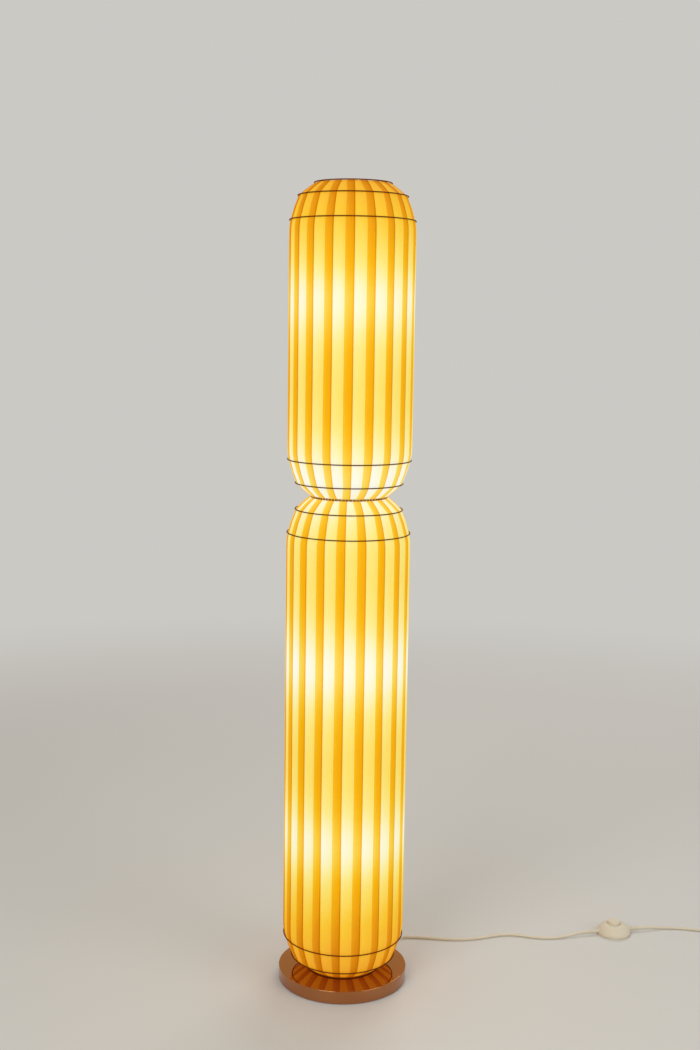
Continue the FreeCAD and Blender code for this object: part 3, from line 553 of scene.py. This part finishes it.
def wireSection(radius, height, thickness, sides):
    turns = [2 * math.pi * side / sides for side in range(sides)]
    return [(radius + thickness * math.cos(turn), 0.0, height + thickness * math.sin(turn))
            for turn in turns]


def addHoop(bm, radius, height):
    spinOutline(bm, wireSection(radius, height, wireRadius, wireFrame["sides"]), wireFrame["steps"])


def makeHoop(node):
    radius, height = hoopCentre(node)
    bm = bmesh.new()
    addHoop(bm, radius, height)
    return closePiece(bm, camelName(node), "wire", node, wireFrame["hoopSharp"])


def makeSpider(node, bore):
    low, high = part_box(node)
    radius, height = high.x - wireRadius, (low.z + high.z) / 2
    bm = bmesh.new()
    addHoop(bm, radius, height)
    hub, edge = wireFrame["hub"], wireFrame["hubEdge"]
    spinOutline(bm, [(bore, 0.0, low.z), (hub - edge, 0.0, low.z), (hub, 0.0, low.z + edge),
                     (hub, 0.0, high.z - edge), (hub - edge, 0.0, high.z), (bore, 0.0, high.z)],
                wireFrame["hubSteps"])
    length = radius - hub + wireRadius
    for arm in range(wireFrame["arms"]):
        turn = math.radians(wireFrame["armStart"] + 360.0 * arm / wireFrame["arms"])
        matrix = (Matrix.Rotation(turn, 4, "Z") @ Matrix.Translation((radius - length / 2, 0, height))
                  @ Matrix.Rotation(math.pi / 2, 4, "Y"))
        bmesh.ops.create_cone(bm, cap_ends=True, segments=wireFrame["sides"], radius1=wireRadius,
                              radius2=wireRadius, depth=length, matrix=matrix)
    return closePiece(bm, camelName(node), "wire", node, wireFrame["spiderSharp"])


for node in wireFrame["hoops"]:
    makeHoop(node)
for node, bore in wireFrame["bores"].items():
    makeSpider(node, bore)
print("hoops and spiders made")

# Pleated cloth: one strip round each lantern, folded into knife pleats

# the values for the fold beneath, the outer layer's shadow and the fold's edge are painted shade in the
# cloth's glow
pleats = {"count": 19, "overlap": 0.43, "rise": 0.055, "layerGap": 0.0006, "inset": 0.0025,
          "rowStep": 0.026, "wander": 0.0005, "wanderStep": 5.3, "wanderRise": 4.0, "uneven": 0.05,
          "unevenStep": 3.7, "nick": 0.006, "thickness": 0.00025,
          "sharpAngle": 50.0, "veil": (0.0, 0.0, 0.02, 0.05, 0.09, 0.14), "foldEdgeShade": 0.35,
          "shadowStart": 0.74, "shadow": ((0.3, 0.86), (0.6, 0.95), (0.8, 1.0)),
          "gather": 0.35, "swell": [(0.006, 0.0013), (0.014, 0.0023), (0.030, 0.0027)],
          "puff": 0.0012, "seatLap": 0.0004, "hemGap": 0.0006, "hemReach": 0.0037}
lowerShade = {"node": "lower_shade", "name": "lowerShadeCloth", "turn": 2.3, "seed": 3.0,
              "foot": "bottom_spider", "head": "waist_spider", "lashed": "waist_spider",
              "hoops": hoopNodes["lower"]}
upperShade = {"node": "upper_shade", "name": "upperShadeCloth", "turn": 6.8, "seed": 11.0,
              "foot": "upper_waist_ring", "head": "top_spider", "lashed": "upper_waist_ring",
              "hoops": hoopNodes["upper"]}


def clothEnd(spec, ring, edge, inward):
    # the lashed end laps over the thread, and the other end stops just short of its ring
    radius, height = hoopCentre(ring)
    if ring == spec["lashed"]:
        return height + inward * pleats["hemGap"], radius + pleats["hemReach"]
    return edge - inward * pleats["seatLap"], radius


def puffed(first, second):
    # the cloth stands a little proud halfway between two hoops of a cap
    return (first[0] + second[0]) / 2, (first[1] + second[1]) / 2 + pleats["puff"]


def clothOutline(spec):
    low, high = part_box(spec["node"])
    held = []
    for node in spec["hoops"]:
        radius, height = hoopCentre(node)
        held.append((height, radius + wireRadius - pleats["inset"]))
    footMid, foot, shoulder, shoulderMid = held
    rising = [(foot[0] + up, foot[1] + out) for up, out in pleats["swell"]]
    falling = [(shoulder[0] - up, shoulder[1] + out) for up, out in reversed(pleats["swell"])]
    footEnd = clothEnd(spec, spec["foot"], low.z, 1)
    headEnd = clothEnd(spec, spec["head"], high.z, -1)
    return ([footEnd, puffed(footEnd, footMid), footMid, puffed(footMid, foot), foot] + rising + falling
            + [shoulder, puffed(shoulder, shoulderMid), shoulderMid, puffed(shoulderMid, headEnd),
               headEnd])


def shareAt(share, overlap, narrow):
    # a fold keeps its depth, so it covers more of the pitch where the lantern is narrow
    wanted = overlap * (1 + pleats["gather"] * min(1.0, max(0.0, narrow)))
    if share <= 1 - overlap:
        return share * (1 - wanted) / (1 - overlap)
    return 1 - (1 - share) * wanted / overlap


def pleatColumns(values, overlap):
    # (share of the pitch, depth in layers, how much of the light three layers hold back as painted
    # shade, painted shade along the fold's edge)
    start = 1 - overlap
    rise = start - values["rise"]
    nick = values["nick"]
    middle = start + overlap / 2
    veils = values["veil"]
    # one layer, with painted shade where the fold beneath shows through, then up over the fold beneath
    columns = [(rise * index / (len(veils) - 1), 2.0, veil, 0) for index, veil in enumerate(veils)]
    columns += [((rise + start) / 2, 1.0, veils[-1], 0), (start - nick, 0.05, veils[-1], 0),
                (start + nick, 0.0, values["shadowStart"], 0)]
    # the outer layer, to the edge that is seen, its painted shade growing towards that edge
    columns += [(start + overlap * share, 0.0, held, 0) for share, held in values["shadow"]]
    columns += [(1 - 8 * nick, 0.0, 1, values["foldEdgeShade"]), (1 - 4 * nick, 0.0, 1, 1),
                (1 - nick, 0.0, 1, 1), (1.0, 0.2, 1, 1), (1.0, 0.8, 1, 1)]
    # the middle layer, back to the hidden edge
    columns += [(1 - 4 * nick, 1.0, 1, 0), (middle, 1.0, 1, 0), (start + nick, 1.0, 1, 0),
                (start - nick / 2, 1.35, 1, 0), (start - nick / 2, 1.65, 1, 0)]
    # the inner layer, on to the next pleat
    columns += [(start + nick, 2.0, 1, 0), (middle, 2.0, 1, 0), (1 - 9 * nick, 2.0, 1, 0),
                (1 - 5 * nick, 2.0, 0, 0)]
    return columns


def clothRows(outline):
    rows = [outline[0]]
    for (low, lowRadius), (high, highRadius) in zip(outline, outline[1:]):
        steps = max(2, round((high - low) / pleats["rowStep"]))
        for step in range(1, steps + 1):
            share = step / steps
            rows.append((low + (high - low) * share, lowRadius + (highRadius - lowRadius) * share))
    return rows


def shadeColumns(spec):
    columns = []
    for index in range(pleats["count"]):
        wobble = noise.noise(Vector((spec["seed"], pleats["unevenStep"] * index, 0.0)))
        overlap = pleats["overlap"] + pleats["uneven"] * wobble
        columns += [(index, share, depth, layers, fold, overlap)
                    for share, depth, layers, fold in pleatColumns(pleats, overlap)]
    return columns


def layFlat(bm, columns, columnLayer, pitchLength):
    # the strip's own coordinates, unfolded: along it and up
    along = [0.0]
    for (index, share, *_), (nextIndex, nextShare, *_) in zip(columns, columns[1:]):
        step = (nextIndex + nextShare - index - share) * pitchLength
        along.append(along[-1] + max(abs(step), pleats["layerGap"] / 2))
    total = along[-1] + pleats["layerGap"]
    half = len(columns) / 2
    uvLayer = bm.loops.layers.uv.new("cloth")
    for face in bm.faces:
        places = [vert[columnLayer] for vert in face.verts]
        wraps = max(places) - min(places) > half
        for loop in face.loops:
            column = loop.vert[columnLayer]
            shift = total if wraps and column < half else 0.0
            loop[uvLayer].uv = (along[column] + shift, loop.vert.co.z)


def makeShade(spec):
    pitch = 2 * math.pi / pleats["count"]
    columns = shadeColumns(spec)
    outline = clothOutline(spec)
    rows = clothRows(outline)
    endRadius, midRadius, fullRadius = outline[0][1], outline[2][1], outline[4][1]
    bm = bmesh.new()
    columnLayer = bm.verts.layers.int.new("column")
    layersLayer = bm.verts.layers.float.new("layers")
    foldLayer = bm.verts.layers.float.new("fold")

    def place(column, height, radius):
        index, share, depth, layers, fold, overlap = columns[column]
        share = shareAt(share, overlap, (midRadius - radius) / (midRadius - endRadius))
        spot = Vector((spec["seed"], pleats["wanderStep"] * index, pleats["wanderRise"] * height))
        drift = noise.noise(spot) * pleats["wander"]
        turn = math.radians(spec["turn"]) + (index + share) * pitch + drift / radius
        reach = radius - depth * pleats["layerGap"]
        return Vector((reach * math.cos(turn), reach * math.sin(turn), height))

    ring = [bm.verts.new(place(column, *rows[0])) for column in range(len(columns))]
    for column, vert in enumerate(ring):
        vert[columnLayer] = column
        vert[layersLayer], vert[foldLayer] = columns[column][3:5]
    edges = [bm.edges.new(pair) for pair in zip(ring, ring[1:] + ring[:1])]
    for height, radius in rows[1:]:
        made = bmesh.ops.extrude_edge_only(bm, edges=edges)["geom"]
        fresh = {item for item in made if isinstance(item, bmesh.types.BMVert)}
        edges = [item for item in made if isinstance(item, bmesh.types.BMEdge)
                 and all(vert in fresh for vert in item.verts)]
        for vert in fresh:
            vert.co = place(vert[columnLayer], height, radius)
    bmesh.ops.recalc_face_normals(bm, faces=bm.faces[:])
    outward = sum(face.normal.dot(Vector((*face.calc_center_median().xy, 0))) for face in bm.faces
                  if all(columns[vert[columnLayer]][1] < 0.5 for vert in face.verts))
    if outward < 0:
        bmesh.ops.reverse_faces(bm, faces=bm.faces[:])
    layFlat(bm, columns, columnLayer, pitch * fullRadius)
    mesh = smoothMesh(bm, spec["name"], pleats["sharpAngle"])
    made = addPiece(spec["name"], mesh, "cloth", spec["node"])
    wall = made.modifiers.new("wall", "SOLIDIFY")
    wall.thickness = pleats["thickness"]
    wall.offset = -1.0
    return made


makeShade(lowerShade)
makeShade(upperShade)
print("shades pleated")

# Foot switch

switchCover = {"radius": 0.0345, "foot": 0.0025, "rimHeight": 0.0075, "bulge": (0.02725, 0.0165),
               "shoulder": (0.017, 0.0209), "crown": (0.0136, 0.0215), "lip": 0.0005, "wall": 0.0024,
               "bulgeWall": 0.7, "outerSteps": 14, "innerSteps": 10, "steps": 96}
switchButton = {"radius": 0.013, "flangeRadius": 0.0152, "flangeBottom": 0.0173, "flangeTop": 0.0188,
                "top": 0.0283, "edge": 0.0018, "edgeSteps": 6, "dish": 0.0005,
                "dishShape": ((0.0, 1.0), (0.45, 0.8), (0.7, 0.25)), "wall": 0.002,
                "stemRadius": 0.0025, "stemBottom": 0.0152, "steps": 72}
spring = {"radius": 0.004, "wire": 0.00045, "turns": 5, "bottom": 0.0116, "top": 0.0257, "perTurn": 32,
          "sides": 10, "travel": 0.003}
relief = {"root": 0.0039, "tip": 0.0033, "height": 0.0072, "length": 0.022, "inside": 0.0057,
          "ribs": 7, "groove": 0.0005, "steps": 28}
sleeve = {"rib": ((0.25, 0), (0.40, 1), (0.68, 1), (0.83, 0)), "tipEdge": (0.0006, 0.0004),
          "sharpAngle": 50.0}  # a rib is shares of its pitch and depths in grooves


def arcThrough(start, middle, end, steps):
    # points of the circle through three points, from start to end
    a, b, c = (Vector(point) for point in (start, middle, end))
    d = 2 * (a.x * (b.y - c.y) + b.x * (c.y - a.y) + c.x * (a.y - b.y))
    squares = [point.length_squared for point in (a, b, c)]
    x = (squares[0] * (b.y - c.y) + squares[1] * (c.y - a.y) + squares[2] * (a.y - b.y)) / d
    y = (squares[0] * (c.x - b.x) + squares[1] * (a.x - c.x) + squares[2] * (b.x - a.x)) / d
    centre = Vector((x, y))
    first = math.atan2(*(a - centre).yx)
    last = math.atan2(*(c - centre).yx)
    radius = (a - centre).length
    turns = [first + (last - first) * step / steps for step in range(steps + 1)]
    return [(centre.x + radius * math.cos(turn), 0.0, centre.y + radius * math.sin(turn))
            for turn in turns]


def atSwitch(bm):
    bmesh.ops.transform(bm, matrix=switchMatrix, verts=bm.verts[:])


def makeSwitchCover(values):
    radius, wall, lip = values["radius"], values["wall"], values["lip"]
    foot, rim = values["foot"], values["rimHeight"]
    crownRadius, crownHeight = values["crown"]
    shoulderRadius, shoulderHeight = values["shoulder"]
    innerBulge = [place - wall * values["bulgeWall"] for place in values["bulge"]]
    outline = [(radius - lip, 0.0, foot), (radius, 0.0, foot + lip)]
    outline += arcThrough((radius, rim), values["bulge"], values["shoulder"], values["outerSteps"])
    outline += [(crownRadius + lip, 0.0, crownHeight), (crownRadius, 0.0, crownHeight - lip),
                (crownRadius, 0.0, crownHeight - wall)]
    outline += arcThrough((shoulderRadius, shoulderHeight - wall), innerBulge, (radius - wall, rim),
                          values["innerSteps"])
    outline += [(radius - wall, 0.0, foot)]
    bm = bmesh.new()
    spinOutline(bm, outline, values["steps"])
    atSwitch(bm)
    return closePiece(bm, "switchCover", "switch", "switch_cover")


def makeSwitchButton(values):
    radius, edge, top = values["radius"], values["edge"], values["top"]
    flange, bottom, flangeTop = values["flangeRadius"], values["flangeBottom"], values["flangeTop"]
    inner, roof = radius - values["wall"], top - values["wall"]
    stem, stemBottom = values["stemRadius"], values["stemBottom"]
    outline = [(radius * share, 0.0, top - values["dish"] * depth)
               for share, depth in values["dishShape"]]
    outline += roundedCorner((radius - edge, top - edge), edge, 90, 0, values["edgeSteps"])
    outline += [(radius, 0.0, flangeTop), (flange, 0.0, flangeTop), (flange, 0.0, bottom),
                (inner, 0.0, bottom), (inner, 0.0, roof), (stem, 0.0, roof), (stem, 0.0, stemBottom),
                (0.0, 0.0, stemBottom)]
    bm = bmesh.new()
    spinOutline(bm, outline, values["steps"], closed=False)
    atSwitch(bm)
    return closePiece(bm, "switchButton", "switch", "switch_button",
                      body="switch_button")


def makeSpring(values):
    bm = bmesh.new()
    section = [bm.verts.new(point) for point in
               wireSection(values["radius"], values["bottom"], values["wire"], values["sides"])]
    edges = [bm.edges.new(pair) for pair in zip(section, section[1:] + section[:1])]
    steps = values["turns"] * values["perTurn"]
    climb = (values["top"] - values["bottom"]) / steps
    bmesh.ops.spin(bm, geom=section + edges, cent=(0, 0, 0), axis=(0, 0, 1), dvec=(0, 0, climb),
                   angle=2 * math.pi * values["turns"], steps=steps)
    ends = [edge for edge in bm.edges if edge.is_boundary]
    bmesh.ops.holes_fill(bm, edges=ends, sides=values["sides"])
    atSwitch(bm)
    made = closePiece(bm, "switchSpring", "steel", "switch_spring", wireFrame["hoopSharp"])
    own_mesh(made)
    return made


def addRelief(bm, matrix, values, coneStart):
    # a tapered sleeve along +X with ring grooves, closed at both ends
    root, tip, inner = values["root"], values["tip"], coneStart - values["inside"]
    outline = [(inner, 0.0, 0.0), (inner, 0.0, root), (coneStart, 0.0, root)]
    pitch = values["length"] / (values["ribs"] + 1)
    for rib in range(values["ribs"]):
        for share, depth in sleeve["rib"]:
            place = (rib + 0.5 + share) * pitch
            taper = root + (tip - root) * place / values["length"]
            outline.append((coneStart + place, 0.0, taper - depth * values["groove"]))
    end = coneStart + values["length"]
    back, inward = sleeve["tipEdge"]
    outline += [(end - back, 0.0, tip), (end, 0.0, tip - inward), (end, 0.0, 0.0)]
    before = set(bm.verts)
    spinOutline(bm, outline, values["steps"], closed=False, axis=(1, 0, 0))
    bmesh.ops.transform(bm, matrix=matrix, verts=[vert for vert in bm.verts if vert not in before])


def makeSleeve(name, node, values, start, matrix, turn):
    bm = bmesh.new()
    lift = Matrix.Translation((0, 0, values["height"]))
    addRelief(bm, matrix @ lift @ Matrix.Rotation(turn, 4, "Z"), values, start)
    return closePiece(bm, name, "relief", node, sleeve["sharpAngle"])


def makeSwitchRelief(name, turn):
    return makeSleeve(name, "switch_reliefs", relief, switchCover["radius"], switchMatrix, turn)


gland = {"angle": math.radians(60), "height": 0.0125, "root": 0.0046, "tip": 0.0033, "length": 0.024,
         "start": 0.125, "inside": 0.0055, "ribs": 7, "groove": 0.0006, "steps": 32}

makeSwitchCover(switchCover)
makeSwitchButton(switchButton)
springPiece = makeSpring(spring)
reliefIn = makeSwitchRelief("switchReliefIn", math.pi)
reliefOut = makeSwitchRelief("switchReliefOut", 0.0)
glandPiece = makeSleeve("cordGland", "cord_gland", gland, gland["start"], Matrix(), gland["angle"])
print("foot switch and reliefs made")

# Cords: their routes repeat the solid cords' points

cordHeight = 0.0028
coil = {"start": (0.806, 0.216), "turns": 5.25, "pitch": 0.0059, "floor": 0.0037, "perTurn": 24,
        "middle": 5.5, "climbTurns": 0.5}  # the middle radius is in diameters of the cord
coil["radius"] = coil["middle"] * cordDiameter + coil["pitch"] * coil["turns"] / 4
coil["centre"] = (coil["start"][0], coil["start"][1] - coil["radius"])
reliefTip = switchCover["radius"] + relief["length"]
straight = 0.016


def switchPoint(x):
    return tuple(switchMatrix @ Vector((x, 0, relief["height"])))


def glandPoint(distance):
    reach = gland["start"] + gland["length"] + distance
    return (reach * math.cos(gland["angle"]), reach * math.sin(gland["angle"]), gland["height"])


def smoothShare(share):
    share = min(1.0, max(0.0, share))
    return share * share * (3 - 2 * share)


def coilPoint(turns):
    middle = coil["turns"] / 2
    reach = coil["radius"] - coil["pitch"] * (middle - abs(turns - middle))
    reach /= 0.75 + 0.25 * math.cos(2 * math.pi / coil["perTurn"])  # a spline lies inside its points
    turn = math.radians(90 - 360 * turns)
    climb = smoothShare((turns - middle) / coil["climbTurns"] + 0.5)
    return (coil["centre"][0] + reach * math.cos(turn), coil["centre"][1] + reach * math.sin(turn),
            coil["floor"] + coil["pitch"] * climb)


lampCordPoints = [glandPoint(0), glandPoint(straight), (0.094, 0.1555, 0.0096), (0.110, 0.164, 0.006),
                  (0.129, 0.1685, 0.0036), (0.152, 0.168, cordHeight), (0.182, 0.1655, cordHeight),
                  (0.215, 0.1605, cordHeight), (0.248, 0.1605, cordHeight), (0.281, 0.1685, cordHeight),
                  (0.313, 0.1815, cordHeight), (0.342, 0.1885, 0.0038), (0.369, 0.1845, 0.0034),
                  (0.397, 0.176, cordHeight), (0.425, 0.173, cordHeight), (0.452, 0.1775, 0.0033),
                  (0.475, 0.187, 0.0054), switchPoint(-reliefTip - straight), switchPoint(-reliefTip)]
plugCordPoints = [switchPoint(reliefTip), switchPoint(reliefTip + straight), (0.660, 0.230, 0.0044),
                  (0.685, 0.2326, cordHeight), (0.711, 0.231, cordHeight), (0.736, 0.226, 0.003),
                  (0.762, 0.2195, 0.0034), (0.786, 0.216, coil["floor"]),
                  (*coil["start"], coil["floor"])]
coilPoints = [coilPoint(step / coil["perTurn"])
              for step in range(1, int(coil["turns"] * coil["perTurn"]))]
tailStart = (coil["centre"][0] + coil["radius"], coil["centre"][1], coil["floor"] + coil["pitch"])
tailSteps = [(0.0, -0.014, 0.0), (0.0008, -0.030, -0.0016), (0.0022, -0.048, -0.00275),
             (0.003, -0.066, -0.00275)]
tailPoints = [tailStart] + [tuple(Vector(tailStart) + Vector(step)) for step in tailSteps]
cordShape = {"order": 3, "resolution": 6, "roundness": 5}


def makeCord(name, points, replaced):
    data = bpy.data.curves.new(name, "CURVE")
    data.dimensions = "3D"
    spline = data.splines.new("NURBS")
    spline.points.add(len(points) - 1)
    for point, place in zip(spline.points, points):
        point.co = (*place, 1.0)
    spline.order_u = cordShape["order"]
    spline.use_endpoint_u = True
    data.resolution_u = cordShape["resolution"]
    spline.resolution_u = cordShape["resolution"]
    data.bevel_depth = cordDiameter / 2
    data.bevel_resolution = cordShape["roundness"]
    data.use_fill_caps = True
    data.materials.append(finishes["cord"])
    made = bpy.data.objects.new(name, data)
    bpy.context.scene.collection.objects.link(made)
    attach(made, "lamp")
    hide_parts(*replaced)
    return made


lampCord = makeCord("lampCord", lampCordPoints, ["lamp_cord"])
plugCord = makeCord("plugCord", plugCordPoints + coilPoints + tailPoints,
                    ["plug_cord", "cord_coil", "cord_tail"])
print("cords laid")

# Plug

plug = {"width": 0.035, "thickness": 0.0137, "length": 0.030, "edge": 0.0032, "nose": 0.008,
        "noseWidth": 0.027, "noseInset": 0.001, "noseEdge": 0.001, "ridges": 5, "ridgeStart": 0.28,
        "ridgeStep": 0.12, "ridgeWidth": 0.0012, "ridgeLength": 0.0016, "ridgeHeight": 0.55,
        "ridgeSink": 0.0004, "ridgeEdge": 0.0005, "tailLength": 0.024, "tailInset": 0.0006,
        "tail": {"tip": 0.0043, "inside": 0.002, "ribs": 6, "groove": 0.0008, "steps": 28},
        "sharpAngle": 40.0}


def plugMatrix():
    heading = Vector(tailPoints[-1]) - Vector(tailPoints[-2])
    turn = math.atan2(heading.x, -heading.y)
    tail = plug["nose"] + plug["length"] + plug["tailLength"]
    return (Matrix.Translation(tailPoints[-1]) @ Matrix.Rotation(turn, 4, "Z")
            @ Matrix.Translation((0, -tail, 0)))


def addBlock(bm, size, centre, edge):
    made = bmesh.ops.create_cube(bm, size=1.0)["verts"]
    bmesh.ops.scale(bm, vec=size, verts=made)
    bmesh.ops.translate(bm, vec=centre, verts=made)
    edges = list({item for vert in made for item in vert.link_edges})
    bmesh.ops.bevel(bm, geom=edges, offset=edge, offset_type="OFFSET", affect="EDGES", segments=4,
                    profile=0.5, material=-1)


def makePlug(values):
    width, thickness = values["width"], values["thickness"]
    length, nose, edge = values["length"], values["nose"], values["edge"]
    bm = bmesh.new()
    addBlock(bm, (width, length, thickness), (0, nose + length / 2, 0), edge)
    addBlock(bm, (values["noseWidth"], nose * 2, thickness - values["noseInset"]), (0, nose, 0),
             values["noseEdge"])
    ridgeSize = (values["ridgeWidth"], values["ridgeLength"], thickness * values["ridgeHeight"])
    for side in (-1, 1):
        for ridge in range(values["ridges"]):
            place = nose + length * (values["ridgeStart"] + values["ridgeStep"] * ridge)
            addBlock(bm, ridgeSize, (side * (width / 2 - values["ridgeSink"]), place, 0),
                     values["ridgeEdge"])
    tail = dict(values["tail"], root=thickness / 2 - values["tailInset"],
                length=values["tailLength"] + edge)
    addRelief(bm, Matrix.Rotation(math.pi / 2, 4, "Z"), tail, nose + length - edge)
    bmesh.ops.transform(bm, matrix=plugMatrix(), verts=bm.verts[:])
    return closePiece(bm, "plugBody", "relief", "plug_body", values["sharpAngle"])


plugPiece = makePlug(plug)

# Floor, background and light

studio = {"floorRadius": 14.0, "floorSides": 96, "fadeStart": 1.3, "fadeEnd": 3.6,
          "floor": colour(0.70, 0.68, 0.64), "floorMottle": 3.0, "floorRoughness": (0.5, 0.62),
          "floorShine": 0.25, "background": colour(0.60, 0.585, 0.555),
          "mirrored": colour(0.60, 0.40, 0.18), "worldLight": 0.42,
          "key": {"place": (-1.5, -2.7, 2.3), "size": 1.7, "power": 44.0},
          "fill": {"place": (2.3, -1.6, 1.5), "size": 1.8, "power": 20.0},
          "back": {"place": (0.8, 2.3, 2.5), "size": 1.5, "power": 22.0},
          "aim": (0.05, 0.0, 0.75)}


def makeFloor(values):
    bm = bmesh.new()
    bmesh.ops.create_circle(bm, cap_ends=True, radius=values["floorRadius"],
                            segments=values["floorSides"])
    mesh = bpy.data.meshes.new("floor")
    bm.to_mesh(mesh)
    bm.free()
    floor = bpy.data.objects.new("floor", mesh)
    bpy.context.scene.collection.objects.link(floor)
    made = newMaterial("paleFloor")
    tree = made.node_tree
    point = objectPoint(tree)
    mottle = useGroup(tree, mottleGroup, {"Point": point, "Scale": values["floorMottle"]})
    roughness = mixValue(tree, mottle.outputs["Value"], *values["floorRoughness"])
    near = addNode(tree, "ShaderNodeBsdfPrincipled",
                   {"Base Color": values["floor"], "Roughness": roughness,
                    "Specular IOR Level": values["floorShine"]})
    far = addNode(tree, "ShaderNodeEmission", {"Color": values["background"], "Strength": 1.0})
    distance = addNode(tree, "ShaderNodeVectorMath", {0: point}, operation="LENGTH").outputs["Value"]
    fade = addNode(tree, "ShaderNodeMapRange", {"Value": distance, "From Min": values["fadeStart"],
                                                "From Max": values["fadeEnd"]},
                   interpolation_type="SMOOTHSTEP").outputs[0]
    both = addNode(tree, "ShaderNodeMixShader", {0: fade, 1: near.outputs[0], 2: far.outputs[0]})
    output = addNode(tree, "ShaderNodeOutputMaterial")
    tree.links.new(both.outputs[0], output.inputs[0])
    mesh.materials.append(made)


def makeWorld(values):
    world = bpy.data.worlds.new("studio")
    bpy.context.scene.world = world
    world.use_nodes = True
    tree = world.node_tree
    tree.nodes.clear()
    path = addNode(tree, "ShaderNodeLightPath")
    seen = mathNode(tree, "MAXIMUM", path.outputs["Is Camera Ray"], path.outputs["Is Transmission Ray"])
    level = values["worldLight"]
    shown = mixColour(tree, path.outputs["Is Glossy Ray"], colour(level, level, level),
                      values["mirrored"])
    shown = mixColour(tree, seen, shown, values["background"])
    sky = addNode(tree, "ShaderNodeBackground", {"Color": shown, "Strength": 1.0})
    output = addNode(tree, "ShaderNodeOutputWorld")
    tree.links.new(sky.outputs[0], output.inputs[0])


def makeLight(name, values, aim):
    data = bpy.data.lights.new(name, "AREA")
    data.shape = "SQUARE"
    data.size = values["size"]
    data.energy = values["power"]
    lamp = bpy.data.objects.new(name, data)
    bpy.context.scene.collection.objects.link(lamp)
    lamp.location = values["place"]
    lamp.rotation_euler = (Vector(aim) - Vector(values["place"])).to_track_quat("-Z", "Y").to_euler()


makeFloor(studio)
makeWorld(studio)
for lightName in ("key", "fill", "back"):
    makeLight(lightName + "Light", studio[lightName], studio["aim"])
bpy.context.scene.view_settings.view_transform = "Standard"
print("studio lit")
